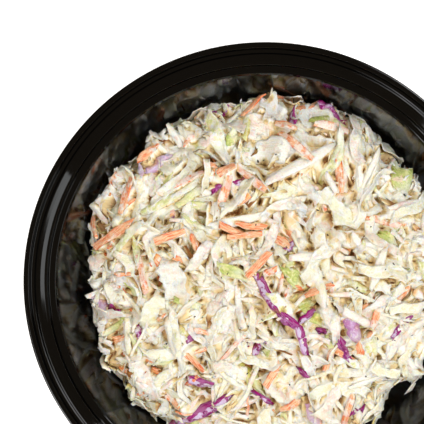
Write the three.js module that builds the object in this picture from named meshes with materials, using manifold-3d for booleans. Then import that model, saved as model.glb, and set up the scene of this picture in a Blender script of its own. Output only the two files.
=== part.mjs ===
// Coleslaw heaped in a round black deli bowl.
// Millimetres, +Z up. The origin is the middle of the bowl's foot, on the surface it stands on.

import * as THREE from "three";
import { mergeVertices } from "three/addons/utils/BufferGeometryUtils.js";
import Module from "manifold-3d";

const wasm = await Module();
wasm.setup();

// ---------------------------------------------------------------- sizes

// The bowl is one thermoformed sheet. Each place is a radius and a height on its upper face.
const SHEET = 0.8; // thickness of the formed sheet
const BOWL_FLATS = 56; // flat strips round the bowl
const RIM_RADIUS = 80; // outermost edge
const RIM_HEIGHT = 50; // top of the outer bead
const FOOT = { innerRadius: 44, outerRadius: 49, pushUp: 1.4 };
const WALL_FOOT = { radius: 52.2, height: 5.2 };
const WALL_TOP = { radius: 69.2, height: 44.4 };
const LEDGE = { innerRadius: 70.4, outerRadius: 72, height: 45.5 }; // where a lid's plug would seat
const BEVEL_FOOT = { radius: 72.7, height: 47.8 };
const BEVEL_TOP = { radius: 75, height: 48.9 };
const INNER_BEAD_RADIUS = 75.8;
const CHANNEL = { innerRadius: 76.5, outerRadius: 77.6, height: 48.3 };
const OUTER_BEAD_RADIUS = 78.8;
const ROLL_HEIGHT = 1.4; // of the rim's rounded outer edge
const SKIRT_BOTTOM = 45.6;
const CORNER_PULL = 0.5; // how near its corner a rounding passes
const CORNER_SIDES = 2; // short sides that make up a rounding

// The heap of slaw.
const HEAP_RADIUS = 59.8; // at its widest, the shoulder
const SHOULDER_HEIGHT = 35;
const CROWN_HEIGHT = 48.8;
const DOME = { fullness: 2.5, steepness: 0.62 };
// Spoon-sized rises and dips.
const LUMPS = { broad: 0.9, broadWave: [8.3, 7.1], fine: 0.5, fineWave: 5.7 };
const BULGES = [
  { size: 1, round: 5, turn: 1.4 },
  { size: 0.5, round: 12, turn: 1.9 },
];
const FILL_HEIGHT = 24; // up to here the slaw lies against the wall
const WALL_GAP = 0.6; // between the slaw and the wall
const CORE_DEPTH = 1.1; // how far the bare core lies under the heap's surface
const CORE_CORNER = 2; // how much rounder the core's foot is than the bowl's
const CORE_FLATS = 36;
const DOME_RINGS = 8;
const RING_SPREAD = 0.8; // below 1 the dome's rings crowd less toward the shoulder

// Slaw pieces: how many of each, their sizes, the cells along and across, how much they wave, and how
// far a piece droops between its supports.
const LEAF_SCRAPS = {
  count: 16,
  length: [12, 18],
  width: [7, 10],
  thickness: 1.1,
  cells: [3, 2],
  wave: 0.7,
  droop: 1,
};
const CABBAGE_RIBBONS = {
  count: 58,
  length: [17, 29],
  width: [3, 5.4],
  thickness: 1.3,
  cells: [4, 1],
  wave: 0.3,
  droop: 0.8,
};
const CARROT_STICKS = {
  count: 20,
  length: [14, 22],
  width: [2.6, 3.2],
  thickness: 1.8,
  cells: [2, 1],
  wave: 0,
  droop: 0.2,
};
const BEND = 0.18; // the most a piece bends sideways, as a share of its length
const TAPER = 0.35; // how much narrower its ends are
const UPTURN = 2.4; // the most that one end stands up
const WAVE_STEP = { along: 1.9, across: 2.4 };
const SINK = 0.35; // how deep a piece is fused into what it lies on
const DROOP_PASSES = 4; // how often a piece's stations are evened out
const STREWN_TO = 0.97; // the share of the heap's radius out to which pieces are strewn
const GOLDEN_ANGLE = Math.PI * (3 - Math.sqrt(5));
const SEED = 20;

// The relief: a square grid that keeps the height of what has been laid so far.
const RELIEF_CELL = 0.8;
const RELIEF_MARGIN = 6; // beyond the heap's radius
const RELIEF_STEPS = 8; // points along and across one cell of a piece

const MERGE_WITHIN = 1e-4; // corners this near each other are one

// ---------------------------------------------------------------- helpers

// A seeded random number in [0, 1), so that the heap is the same each time.
function makeRandom(seed) {
  let state = seed;
  return () => {
    state = (state + 0x6d2b79f5) | 0;
    let t = Math.imul(state ^ (state >>> 15), 1 | state);
    t = (t + Math.imul(t ^ (t >>> 7), 61 | t)) ^ t;
    return ((t ^ (t >>> 14)) >>> 0) / 2 ** 32;
  };
}

const random = makeRandom(SEED);
const between = ([low, high]) => low + (high - low) * random();

// A three.js geometry as a manifold-3d solid, and back.
function toSolid(geometry) {
  const bare = new THREE.BufferGeometry();
  bare.setAttribute("position", geometry.getAttribute("position"));
  bare.setIndex(geometry.index);
  const merged = mergeVertices(bare, MERGE_WITHIN);
  return new wasm.Manifold(
    new wasm.Mesh({
      numProp: 3,
      vertProperties: merged.attributes.position.array,
      triVerts: new Uint32Array(merged.index.array),
    }),
  );
}

function toGeometry(solid) {
  const mesh = solid.getMesh();
  const geometry = new THREE.BufferGeometry();
  geometry.setAttribute("position", new THREE.BufferAttribute(new Float32Array(mesh.vertProperties), 3));
  geometry.setIndex(new THREE.BufferAttribute(new Uint32Array(mesh.triVerts), 1));
  geometry.computeVertexNormals();
  return geometry;
}

// The outer shell of a fused solid: pockets sealed inside it are filled, and loose scraps are dropped.
function largestShell(solid) {
  return solid.decompose().reduce((best, shell) => (shell.volume() > best.volume() ? shell : best));
}

// A profile of (radius, height) points turned about Z.
function turned(profile, flats) {
  return new THREE.LatheGeometry(profile, flats).rotateX(Math.PI / 2);
}

// ---------------------------------------------------------------- the bowl

// The sheet's upper face, from the middle of the floor over the rim to the bottom of the skirt.
function upperFace() {
  const path = new THREE.Path();
  path.moveTo(0, SHEET + FOOT.pushUp);
  path.lineTo(FOOT.innerRadius - FOOT.pushUp, SHEET + FOOT.pushUp);
  path.lineTo(FOOT.innerRadius, SHEET);
  path.lineTo(FOOT.outerRadius, SHEET);
  path.quadraticCurveTo(WALL_FOOT.radius - CORNER_PULL, SHEET, WALL_FOOT.radius, WALL_FOOT.height);
  path.lineTo(WALL_TOP.radius, WALL_TOP.height);
  path.quadraticCurveTo(WALL_TOP.radius + CORNER_PULL, LEDGE.height, LEDGE.innerRadius, LEDGE.height);
  path.lineTo(LEDGE.outerRadius, LEDGE.height);
  path.lineTo(BEVEL_FOOT.radius, BEVEL_FOOT.height);
  path.lineTo(BEVEL_TOP.radius, BEVEL_TOP.height);
  path.lineTo(INNER_BEAD_RADIUS, BEVEL_TOP.height);
  path.lineTo(CHANNEL.innerRadius, CHANNEL.height);
  path.lineTo(CHANNEL.outerRadius, CHANNEL.height);
  path.quadraticCurveTo(CHANNEL.outerRadius + CORNER_PULL, RIM_HEIGHT, OUTER_BEAD_RADIUS, RIM_HEIGHT);
  path.quadraticCurveTo(RIM_RADIUS, RIM_HEIGHT, RIM_RADIUS, RIM_HEIGHT - ROLL_HEIGHT);
  path.lineTo(RIM_RADIUS, SKIRT_BOTTOM);
  return path.getPoints(CORNER_SIDES);
}

// The same line moved across the sheet, to its lower face.
function movedAcross(points, distance) {
  const rightOf = (a, b) => new THREE.Vector2(b.y - a.y, a.x - b.x).normalize();
  return points.map((point, i) => {
    const before = i > 0 ? rightOf(points[i - 1], point) : new THREE.Vector2(0, -1);
    const after = i < points.length - 1 ? rightOf(point, points[i + 1]) : before;
    const middle = before.clone().add(after).normalize();
    return point.clone().addScaledVector(middle, distance / middle.dot(before));
  });
}

function bowl() {
  const upper = upperFace();
  const lower = movedAcross(upper, SHEET);
  return turned([...upper, ...lower.reverse()].reverse(), BOWL_FLATS);
}

// The bowl's inner radius at a height on its sloping wall.
function wallRadius(height) {
  const slope = (WALL_TOP.radius - WALL_FOOT.radius) / (WALL_TOP.height - WALL_FOOT.height);
  return WALL_FOOT.radius + (height - WALL_FOOT.height) * slope;
}

// ---------------------------------------------------------------- the heap

// How far the heap's shoulder stands out at an angle round the bowl.
function shoulderRadius(angle) {
  const bulge = ({ size, round, turn }) => size * Math.sin(round * angle + turn);
  return BULGES.reduce((radius, each) => radius + bulge(each), HEAP_RADIUS);
}

function lumps(x, y) {
  const broad = Math.sin(x / LUMPS.broadWave[0] + 1) * Math.cos(y / LUMPS.broadWave[1]);
  return LUMPS.broad * broad + LUMPS.fine * Math.sin((x - y) / LUMPS.fineWave);
}

// The height of the heap's surface over a point: a full dome that falls steeply at its shoulder.
function heapHeight(x, y) {
  const share = Math.min(1, Math.hypot(x, y) / shoulderRadius(Math.atan2(y, x)));
  const dome = (1 - share ** DOME.fullness) ** DOME.steepness;
  return SHOULDER_HEIGHT + (CROWN_HEIGHT - SHOULDER_HEIGHT + lumps(x, y)) * dome;
}

// A point pulled in, where it has to be, to stay clear of the bowl's wall.
function insideWall(x, y, z) {
  const most = wallRadius(Math.min(z, WALL_TOP.height)) - 2 * WALL_GAP;
  const shrink = Math.min(1, most / Math.hypot(x, y));
  return new THREE.Vector3(x * shrink, y * shrink, z);
}

// The bare body of slaw under the pieces: the bowl's inside up to the fill, a shoulder, and the dome.
function heapCore() {
  const floor = SHEET + FOOT.pushUp + WALL_GAP;
  const profile = [new THREE.Vector2(0, floor), new THREE.Vector2(FOOT.outerRadius - CORE_CORNER, floor)];
  for (const height of [WALL_FOOT.height + CORE_CORNER, FILL_HEIGHT]) {
    profile.push(new THREE.Vector2(wallRadius(height) - WALL_GAP, height));
  }
  for (let ring = DOME_RINGS; ring >= 0; ring--) {
    const share = Math.sin((ring / DOME_RINGS) * (Math.PI / 2)) ** RING_SPREAD;
    profile.push(new THREE.Vector2(HEAP_RADIUS * share, SHOULDER_HEIGHT));
  }
  const geometry = turned(profile, CORE_FLATS);
  const position = geometry.getAttribute("position");
  for (let i = 0; i < position.count; i++) {
    if (position.getZ(i) < SHOULDER_HEIGHT) continue;
    const [x, y] = [position.getX(i), position.getY(i)];
    const swell = (shoulderRadius(Math.atan2(y, x)) - CORE_DEPTH) / HEAP_RADIUS;
    position.setXYZ(i, x * swell, y * swell, heapHeight(x * swell, y * swell) - CORE_DEPTH);
  }
  return toSolid(geometry);
}

// ---------------------------------------------------------------- the pieces

// The height of what has been laid so far, over the heap.
class Relief {
  constructor(cell, reach) {
    this.cell = cell;
    this.reach = reach;
    this.side = Math.ceil((2 * reach) / cell) + 1;
    this.heights = new Float64Array(this.side * this.side);
    for (let i = 0; i < this.heights.length; i++) {
      const [x, y] = [(i % this.side) * cell - reach, Math.floor(i / this.side) * cell - reach];
      this.heights[i] = heapHeight(x, y) - CORE_DEPTH;
    }
  }

  index(x, y) {
    const cellOf = (value) => Math.round((value + this.reach) / this.cell);
    const along = (value) => Math.max(0, Math.min(this.side - 1, cellOf(value)));
    return along(y) * this.side + along(x);
  }

  at(x, y) {
    return this.heights[this.index(x, y)];
  }

  raise(x, y, z) {
    const i = this.index(x, y);
    this.heights[i] = Math.max(this.heights[i], z);
  }
}

const relief = new Relief(RELIEF_CELL, HEAP_RADIUS + RELIEF_MARGIN);

// A thin solid round a curved middle surface, which is a grid of points [along][across].
// Both faces are split into triangles alike.
function thinSolid(middle, thickness) {
  const [along, across] = [middle.length - 1, middle[0].length - 1];
  const columns = across + 1;
  const under = (along + 1) * columns;
  const at = (i, j) => i * columns + j;
  const clampTo = (value, most) => Math.max(0, Math.min(most, value));
  const points = [];
  for (const side of [1, -1]) {
    for (let i = 0; i <= along; i++) {
      for (let j = 0; j <= across; j++) {
        const row = middle[i];
        const lengthwise = middle[clampTo(i + 1, along)][j].clone().sub(middle[clampTo(i - 1, along)][j]);
        const crosswise = row[clampTo(j + 1, across)].clone().sub(row[clampTo(j - 1, across)]);
        const normal = lengthwise.cross(crosswise).normalize();
        points.push(row[j].clone().addScaledVector(normal, (side * thickness) / 2));
      }
    }
  }
  const triangles = [];
  for (let i = 0; i < along; i++) {
    for (let j = 0; j < across; j++) {
      const [a, b, c, d] = [at(i, j), at(i + 1, j), at(i + 1, j + 1), at(i, j + 1)];
      triangles.push(a, b, c, a, c, d, a + under, c + under, b + under, a + under, d + under, c + under);
    }
  }
  const wall = (a, b) => triangles.push(a, a + under, b + under, a, b + under, b);
  for (let i = 0; i < along; i++) {
    wall(at(i, 0), at(i + 1, 0));
    wall(at(i + 1, across), at(i, across));
  }
  for (let j = 0; j < across; j++) {
    wall(at(along, j), at(along, j + 1));
    wall(at(0, j + 1), at(0, j));
  }
  const geometry = new THREE.BufferGeometry().setFromPoints(points);
  geometry.setIndex(triangles);
  return geometry;
}

// How high each station of a piece lies: on the highest thing under it, and no more bent than it can be.
function restingHeights(stations, kind) {
  const heights = stations.map((row, i) => {
    const next = stations[Math.min(i + 1, stations.length - 1)];
    const last = stations[Math.max(i - 1, 0)];
    return Math.max(...row.flatMap(([x, y], j) => [
      relief.at(x, y),
      relief.at((2 * x + next[j][0]) / 3, (2 * y + next[j][1]) / 3),
      relief.at((2 * x + last[j][0]) / 3, (2 * y + last[j][1]) / 3),
    ]));
  });
  for (let pass = 0; pass < DROOP_PASSES; pass++) {
    for (let i = 1; i < heights.length - 1; i++) {
      heights[i] = Math.max(heights[i], (heights[i - 1] + heights[i + 1]) / 2 - kind.droop);
    }
  }
  return heights.map((height) => height + kind.thickness / 2 - SINK);
}

// One piece lying on what is under it: it bends sideways, and one end may stand up.
function piece(kind, x, y) {
  const [along, across] = kind.cells;
  const [length, width] = [between(kind.length), between(kind.width)];
  const heading = between([0, Math.PI]);
  const bend = between([-BEND, BEND]) * length;
  const upturn = random() ** 3 * UPTURN;
  const phase = between([0, 2 * Math.PI]);
  const stations = Array.from({ length: along + 1 }, (_, i) => {
    const s = (2 * i) / along - 1;
    const taper = 1 - TAPER * s ** 4;
    return Array.from({ length: across + 1 }, (__, j) => {
      const forward = (s * length) / 2;
      const aside = (j / across - 0.5) * width * taper + bend * (s ** 2 - 0.5);
      return [
        x + forward * Math.cos(heading) - aside * Math.sin(heading),
        y + forward * Math.sin(heading) + aside * Math.cos(heading),
      ];
    });
  });
  const heights = restingHeights(stations, kind);
  const middle = stations.map((row, i) =>
    row.map(([px, py], j) => {
      const end = Math.max(0, (2 * i) / along - 1);
      const wave = kind.wave * Math.sin(WAVE_STEP.along * i + WAVE_STEP.across * j + phase);
      return insideWall(px, py, heights[i] + upturn * end ** 2 + wave);
    }),
  );
  layOnRelief(middle, kind.thickness);
  return toSolid(thinSolid(middle, kind.thickness));
}

// Raises the relief under a piece's upper face, cell by cell.
function layOnRelief(middle, thickness) {
  const last = RELIEF_STEPS - 1;
  for (let i = 0; i < middle.length - 1; i++) {
    for (let j = 0; j < middle[0].length - 1; j++) {
      for (let k = 0; k < RELIEF_STEPS ** 2; k++) {
        const [u, v] = [(k % RELIEF_STEPS) / last, Math.floor(k / RELIEF_STEPS) / last];
        const near = middle[i][j].clone().lerp(middle[i + 1][j], u);
        const far = middle[i][j + 1].clone().lerp(middle[i + 1][j + 1], u);
        const point = near.lerp(far, v);
        relief.raise(point.x, point.y, point.z + thickness / 2);
      }
    }
  }
}

// Places spread evenly over the heap's top, by the golden angle.
function placesOnHeap(count, turn) {
  return Array.from({ length: count }, (_, i) => {
    const radius = STREWN_TO * HEAP_RADIUS * Math.sqrt((i + 0.5) / count);
    const angle = i * GOLDEN_ANGLE + turn;
    return [radius * Math.cos(angle), radius * Math.sin(angle)];
  });
}

function slaw() {
  const solids = [heapCore()];
  [LEAF_SCRAPS, CABBAGE_RIBBONS, CARROT_STICKS].forEach((kind, turn) => {
    for (const [x, y] of placesOnHeap(kind.count, turn)) solids.push(piece(kind, x, y));
  });
  return toGeometry(largestShell(wasm.Manifold.union(solids)));
}

// ---------------------------------------------------------------- the model

function named(name, geometry, material) {
  const mesh = new THREE.Mesh(geometry, material);
  mesh.name = name;
  return mesh;
}

const blackPlastic = new THREE.MeshStandardMaterial({ color: 0x0a0a0b, roughness: 0.12, metalness: 0 });
const dressedCabbage = new THREE.MeshStandardMaterial({ color: 0xf1edd2, roughness: 0.42, metalness: 0 });

const coleslaw = new THREE.Group();
coleslaw.add(named("bowl", bowl(), blackPlastic));
coleslaw.add(named("slaw", slaw(), dressedCabbage));

export default coleslaw;
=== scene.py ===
"""Coleslaw heaped in a round black deli bowl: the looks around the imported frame.

Lengths are in millimetres up to the point where a mesh is made, and in metres from there on.
"""

import logging
import math
from collections.abc import Sequence
from dataclasses import dataclass, field
from enum import Enum

import bpy
import numpy as np
from mathutils import Matrix, Vector

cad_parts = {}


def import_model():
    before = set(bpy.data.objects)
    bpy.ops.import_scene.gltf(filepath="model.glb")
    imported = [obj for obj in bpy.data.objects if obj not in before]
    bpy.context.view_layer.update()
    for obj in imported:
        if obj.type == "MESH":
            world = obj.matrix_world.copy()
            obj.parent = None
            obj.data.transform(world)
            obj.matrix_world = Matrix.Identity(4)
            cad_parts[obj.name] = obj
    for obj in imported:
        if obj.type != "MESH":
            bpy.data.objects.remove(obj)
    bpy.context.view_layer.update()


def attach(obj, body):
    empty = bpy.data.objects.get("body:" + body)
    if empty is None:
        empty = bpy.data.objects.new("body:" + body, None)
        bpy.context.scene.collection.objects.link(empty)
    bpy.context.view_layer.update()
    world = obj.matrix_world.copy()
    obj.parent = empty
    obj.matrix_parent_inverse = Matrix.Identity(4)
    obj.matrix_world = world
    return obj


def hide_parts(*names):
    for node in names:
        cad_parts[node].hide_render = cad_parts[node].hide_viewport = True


MM = 0.001
SEED = 11
PHASES = (0, 6.28)  # where a wave may begin, in radians
LOG = logging.getLogger("coleslaw")

Triple = tuple[float, float, float]
Colour = tuple[float, float, float]
Pixel = tuple[float, float]
Span = tuple[float, float]
Corners = tuple[tuple[float, float], ...]
Socket = bpy.types.NodeSocket


@dataclass(frozen=True)
class DisplayCurve:
    """The curve between a display's values and linear light."""

    most: int = 255
    knee: float = 0.04045  # the curve is straight below it
    slope: float = 12.92
    lift: float = 0.055
    power: float = 2.4

    def undone(self, value: int) -> float:
        """Turn one channel's display value into linear light.

        Args:
            value: The display value.

        Returns:
            The linear light, 0 to 1.
        """
        share = value / self.most
        if share <= self.knee:
            return share / self.slope
        return ((share + self.lift) / (1 + self.lift)) ** self.power


def linear(red: int, green: int, blue: int) -> Colour:
    """Turn a display colour, each channel 0 to 255, into the linear values that shaders take."""
    curve = DisplayCurve()
    return curve.undone(red), curve.undone(green), curve.undone(blue)


# ---------------------------------------------------------------- meshes


@dataclass
class MeshStore:
    """The growing mesh of one kind of piece, with what its shader reads at each vertex."""

    points: list[np.ndarray] = field(default_factory=list)
    quads: list[np.ndarray] = field(default_factory=list)
    tints: list[np.ndarray] = field(default_factory=list)
    grains: list[np.ndarray] = field(default_factory=list)
    spots: list[np.ndarray] = field(default_factory=list)
    count: int = 0

    def add(
        self,
        points: np.ndarray,
        quads: np.ndarray,
        tints: np.ndarray,
        grains: np.ndarray,
        spots: np.ndarray,
    ) -> None:
        """Add one closed piece.

        Args:
            points: Vertices, in millimetres.
            quads: Faces, as rows of four vertex numbers of this piece.
            tints: Four numbers a vertex: tone, along, across and chance.
            grains: Three numbers a vertex: the way along the piece, the way across it and the lift.
            spots: Each vertex's place on the map of the heap's skin.
        """
        self.points.append(points)
        self.quads.append(quads + self.count)
        self.tints.append(tints)
        self.grains.append(grains)
        self.spots.append(spots)
        self.count += len(points)

    def to_object(self, kind: "ShredKind", material: bpy.types.Material, skin: "Skin") -> bpy.types.Object:
        """Make the object that holds every piece added so far.

        Args:
            kind: The kind of piece.
            material: Its finish.
            skin: The finished heap's surface.

        Returns:
            The new object, linked to the scene.
        """
        made = new_object(kind.name, np.concatenate(self.points), np.concatenate(self.quads), material)
        tint = made.data.attributes.new("tint", "FLOAT_COLOR", "POINT")
        tint.data.foreach_set("color", np.concatenate(self.tints).astype(np.float32).ravel())
        grains = np.concatenate(self.grains)
        # the third number turns from the lift into the share of painted shade deep between the shreds
        grains[:, 2] = skin.sunk(np.concatenate(self.spots), grains[:, 2])
        grain_and_painted_shade = made.data.attributes.new("grain_and_painted_shade", "FLOAT_VECTOR", "POINT")
        grain_and_painted_shade.data.foreach_set("vector", grains.astype(np.float32).ravel())
        if kind.sharp_deg is not None:
            made.data.set_sharp_from_angle(angle=math.radians(kind.sharp_deg))
        return made


def new_object(
    name: str,
    points: np.ndarray,
    faces: np.ndarray | list,
    material: bpy.types.Material,
) -> bpy.types.Object:
    """Make a smooth-shaded mesh object from vertices in millimetres.

    Args:
        name: The object's name.
        points: Vertices, in millimetres.
        faces: Faces, as rows of vertex numbers.
        material: Its finish.

    Returns:
        The new object, linked to the scene.
    """
    mesh = bpy.data.meshes.new(name)
    rows = faces.tolist() if isinstance(faces, np.ndarray) else faces
    mesh.from_pydata((points * MM).tolist(), [], rows)
    mesh.polygons.foreach_set("use_smooth", np.ones(len(mesh.polygons), bool))
    mesh.materials.append(material)
    mesh.update()
    made = bpy.data.objects.new(name, mesh)
    bpy.context.scene.collection.objects.link(made)
    return made


def lathe(profile: np.ndarray, flats: int) -> tuple[np.ndarray, list[list[int]]]:
    """Turn a closed profile about Z.

    Args:
        profile: Rows of (radius, height). The first and last lie on the axis.
        flats: Strips round the axis.

    Returns:
        The vertices and the faces.
    """
    angles = np.arange(flats) * 2 * math.pi / flats
    inner = profile[1:-1]
    rings = np.stack(
        [
            inner[:, None, 0] * np.cos(angles),
            inner[:, None, 0] * np.sin(angles),
            np.repeat(inner[:, None, 1], flats, 1),
        ],
        -1,
    )
    points = np.concatenate([[[0, 0, profile[0, 1]]], rings.reshape(-1, 3), [[0, 0, profile[-1, 1]]]])
    end = len(points) - 1
    faces = []
    for j in range(flats):
        k = (j + 1) % flats
        faces.append([0, 1 + j, 1 + k])
        last = 1 + (len(inner) - 1) * flats
        faces.append([end, last + k, last + j])
        for i in range(len(inner) - 1):
            a = 1 + i * flats
            faces.append([a + j, a + flats + j, a + flats + k, a + k])
    return points, faces


# ---------------------------------------------------------------- finishes


class Shader:
    """The node graph of one finish, built node by node."""

    NOISE_ROUGHNESS = 0.55
    MIX_INPUTS = (0, 6, 7)  # the Mix node's sockets for the share and the two colours
    MIX_OUTPUT = 2

    def __init__(self, name: str) -> None:
        """Start an empty material with one Principled shader.

        Args:
            name: The material's name.
        """
        self.material = bpy.data.materials.new(name)
        self.material.use_nodes = True
        self.tree = self.material.node_tree
        self.tree.nodes.clear()
        output = self.tree.nodes.new("ShaderNodeOutputMaterial")
        self.body = self.tree.nodes.new("ShaderNodeBsdfPrincipled")
        self.tree.links.new(self.body.outputs["BSDF"], output.inputs["Surface"])

    def feed(self, socket: Socket, value: object) -> None:
        """Link an input to another node, or set its value.

        Args:
            socket: The input.
            value: A socket to link, a colour or a plain value.
        """
        if isinstance(value, Socket):
            self.tree.links.new(value, socket)
        elif isinstance(value, tuple) and socket.type == "RGBA":
            socket.default_value = (*value, 1)
        else:
            socket.default_value = value

    def set(self, **values: object) -> None:
        """Set the Principled shader's inputs, by their names with underscores for spaces."""
        for name, value in values.items():
            self.feed(self.body.inputs[name.replace("_", " ")], value)

    def node(self, kind: str, inputs: dict[str, object] | None = None, **settings: object) -> bpy.types.Node:
        """Add a node.

        Args:
            kind: The node's type, without ShaderNode.
            inputs: Input values or sockets, by name.
            settings: The node's own settings.

        Returns:
            The new node.
        """
        made = self.tree.nodes.new("ShaderNode" + kind)
        for name, value in settings.items():
            setattr(made, name, value)
        for name, value in (inputs or {}).items():
            self.feed(made.inputs[name], value)
        return made

    def axis(self, vector: Socket, name: str) -> Socket:
        """Give one number of a vector: its X, Y or Z."""
        return self.node("SeparateXYZ", {"Vector": vector}).outputs[name]

    def noise(self, scale: float, detail: float = 2, where: Socket | None = None) -> Socket:
        """Add a noise over the object's coordinates, or over the place given.

        Args:
            scale: Lumps a metre, or a unit of the place given.
            detail: Octaves of finer noise.
            where: The place to read, if not the object's coordinates.

        Returns:
            The noise, 0 to 1.
        """
        place = where or self.node("TexCoord").outputs["Object"]
        inputs = {"Vector": place, "Scale": scale, "Detail": detail, "Roughness": self.NOISE_ROUGHNESS}
        return self.node("TexNoise", inputs).outputs["Fac"]

    def ramp(self, share: Socket, stops: Sequence[tuple[float, Colour]]) -> Socket:
        """Turn a number into a colour by a row of stops.

        Args:
            share: The number.
            stops: Places and linear colours, in order.

        Returns:
            The colour.
        """
        made = self.node("ValToRGB", {"Fac": share})
        row = made.color_ramp.elements
        while len(row) < len(stops):
            row.new(1)
        for element, (place, colour) in zip(row, stops):
            element.position = place
            element.color = (*colour, 1)
        return made.outputs["Color"]

    def span(self, value: Socket, reach: Span, onto: Span = (0, 1)) -> Socket:
        """Map a range of a number smoothly onto another.

        Args:
            value: The number.
            reach: Where the range begins and ends.
            onto: What its beginning and its end become.

        Returns:
            The mapped number.
        """
        inputs = {"Value": value, "From Min": reach[0], "From Max": reach[1]}
        inputs |= {"To Min": onto[0], "To Max": onto[1]}
        return self.node("MapRange", inputs, interpolation_type="SMOOTHSTEP").outputs["Result"]

    def math(self, kind: str, first: object, second: object) -> Socket:
        """Combine two numbers.

        Args:
            kind: The Math node's operation.
            first: The first number.
            second: The second number.

        Returns:
            The result.
        """
        made = self.node("Math", operation=kind)
        for socket, value in zip(made.inputs, (first, second)):
            self.feed(socket, value)
        return made.outputs["Value"]

    def mix(self, share: object, first: object, second: object, blend: str = "MIX") -> Socket:
        """Mix two colours.

        Args:
            share: How much of the second.
            first: The first colour.
            second: The second colour.
            blend: How they mix.

        Returns:
            The mixed colour.
        """
        made = self.node("Mix", data_type="RGBA", blend_type=blend, clamp_factor=True)
        for number, value in zip(self.MIX_INPUTS, (share, first, second)):
            self.feed(made.inputs[number], value)
        return made.outputs[self.MIX_OUTPUT]

    def bump(self, height: Socket, depth: float, strength: float, under: Socket | None = None) -> Socket:
        """Roughen the surface.

        Args:
            height: The relief, 0 to 1.
            depth: How deep it is, in millimetres.
            strength: How strongly it shows.
            under: A normal that it adds to.

        Returns:
            The new normal.
        """
        inputs = {"Height": height, "Distance": depth * MM, "Strength": strength}
        if under is not None:
            inputs["Normal"] = under
        return self.node("Bump", inputs).outputs["Normal"]


@dataclass(frozen=True)
class GlossyPlasticFinish:
    """Black thermoformed plastic with a mirror gloss and very faint wear."""

    name: str = "black_plastic"
    colour: Colour = (0.0008, 0.0008, 0.0009)
    worn: float = 1.5  # how much paler its worn specks are
    rim_roughness: Span = (0.03, 0.07)
    wall_roughness: float = 0.13
    wall_gloss: float = 1.0  # the wall was drawn over a polished mould
    bends_light: float = 1.3
    wall_bends_light: float = 1.7
    rim_from: float = 45.0  # the height where the stretched wall ends, in millimetres
    rim_blend: float = 2.0
    clouds: float = 45  # lumps a metre
    cloud_detail: float = 4
    cloud_span: Span = (0.3, 0.75)
    specks: float = 900
    speck_span: Span = (0.35, 0.7)
    drawn: float = 60
    drawn_mm: float = 0.01
    drawn_strength: float = 0.5

    def material(self) -> bpy.types.Material:
        """Make the material.

        Returns:
            The material.
        """
        shader = Shader(self.name)
        gloss = shader.span(shader.noise(self.clouds, self.cloud_detail), self.cloud_span, self.rim_roughness)
        height = shader.axis(shader.node("TexCoord").outputs["Object"], "Z")
        edge = self.rim_from * MM
        below_rim = (edge - self.rim_blend * MM, edge)
        dull = shader.span(height, below_rim, (self.wall_roughness, 0.0))
        wall = shader.span(height, below_rim, (self.wall_gloss, 0.0))
        facing = shader.axis(shader.node("NewGeometry").outputs["Normal"], "Z")
        specks = shader.span(shader.noise(self.specks), self.speck_span)
        paler = tuple(self.worn * value for value in self.colour)
        shader.set(
            Base_Color=shader.mix(specks, self.colour, paler),
            Roughness=shader.math("MAXIMUM", gloss, dull),
            IOR=self.bends_light,
            Coat_Weight=shader.math("MULTIPLY", wall, shader.math("GREATER_THAN", facing, 0.0)),
            Coat_Roughness=self.wall_roughness,
            Coat_IOR=self.wall_bends_light,
            Normal=shader.bump(shader.noise(self.drawn, 1), self.drawn_mm, self.drawn_strength),
        )
        return shader.material


@dataclass(frozen=True)
class SeeIn:
    """How far light wanders inside the slaw."""

    radius: Colour = (1.0, 0.78, 0.55)  # for red, green and blue
    scale: float = 0.7 * MM


SEE_IN = SeeIn()
PAINTED_CREVICE_SHADES = (  # painted shade: how far each colour is dimmed and warmed, from the heap's surface to deep between the shreds
    (0.0, (1.0, 1.0, 1.0)),
    (0.26, (0.93, 0.77, 0.46)),
    (1.0, (0.32, 0.13, 0.03)),
)


def painted_crevice_shade(shader: Shader, surface: Socket, most: float = 1.0) -> Socket:
    """Paint shade into a colour: warm and dim it where it lies deep between the shreds.

    Args:
        shader: The finish's graph.
        surface: The colour.
        most: How far it goes at most, as a share.

    Returns:
        The new colour.
    """
    sunk = shader.axis(shader.node("Attribute", attribute_name="grain_and_painted_shade").outputs["Vector"], "Z")
    shade = shader.ramp(shader.math("MULTIPLY", sunk, most), PAINTED_CREVICE_SHADES)
    return shader.mix(1.0, surface, shade, "MULTIPLY")


@dataclass(frozen=True)
class CutPattern:
    """How the colours of a cut piece stray and run into each other."""

    blotches: float = 380  # lumps a metre
    specks: float = 1500
    detail: float = 3
    usual: Span = (0.3, 0.7)  # where most of a noise lies
    speck_share: float = 0.25  # how far the specks stray, beside the blotches
    tip_slope: float = 0.8
    tip_blotch: float = 0.5
    tip_span: Span = (0.55, 1.0)
    edge_span: Span = (0.45, 1.0)
    flank_blotch: float = 1.6
    flank_span: Span = (0.85, 1.1)
    fibre_run: float = 0.25  # fibres a millimetre along the piece, which draws them out
    fibre_span: Span = (0.42, 0.58)


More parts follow.
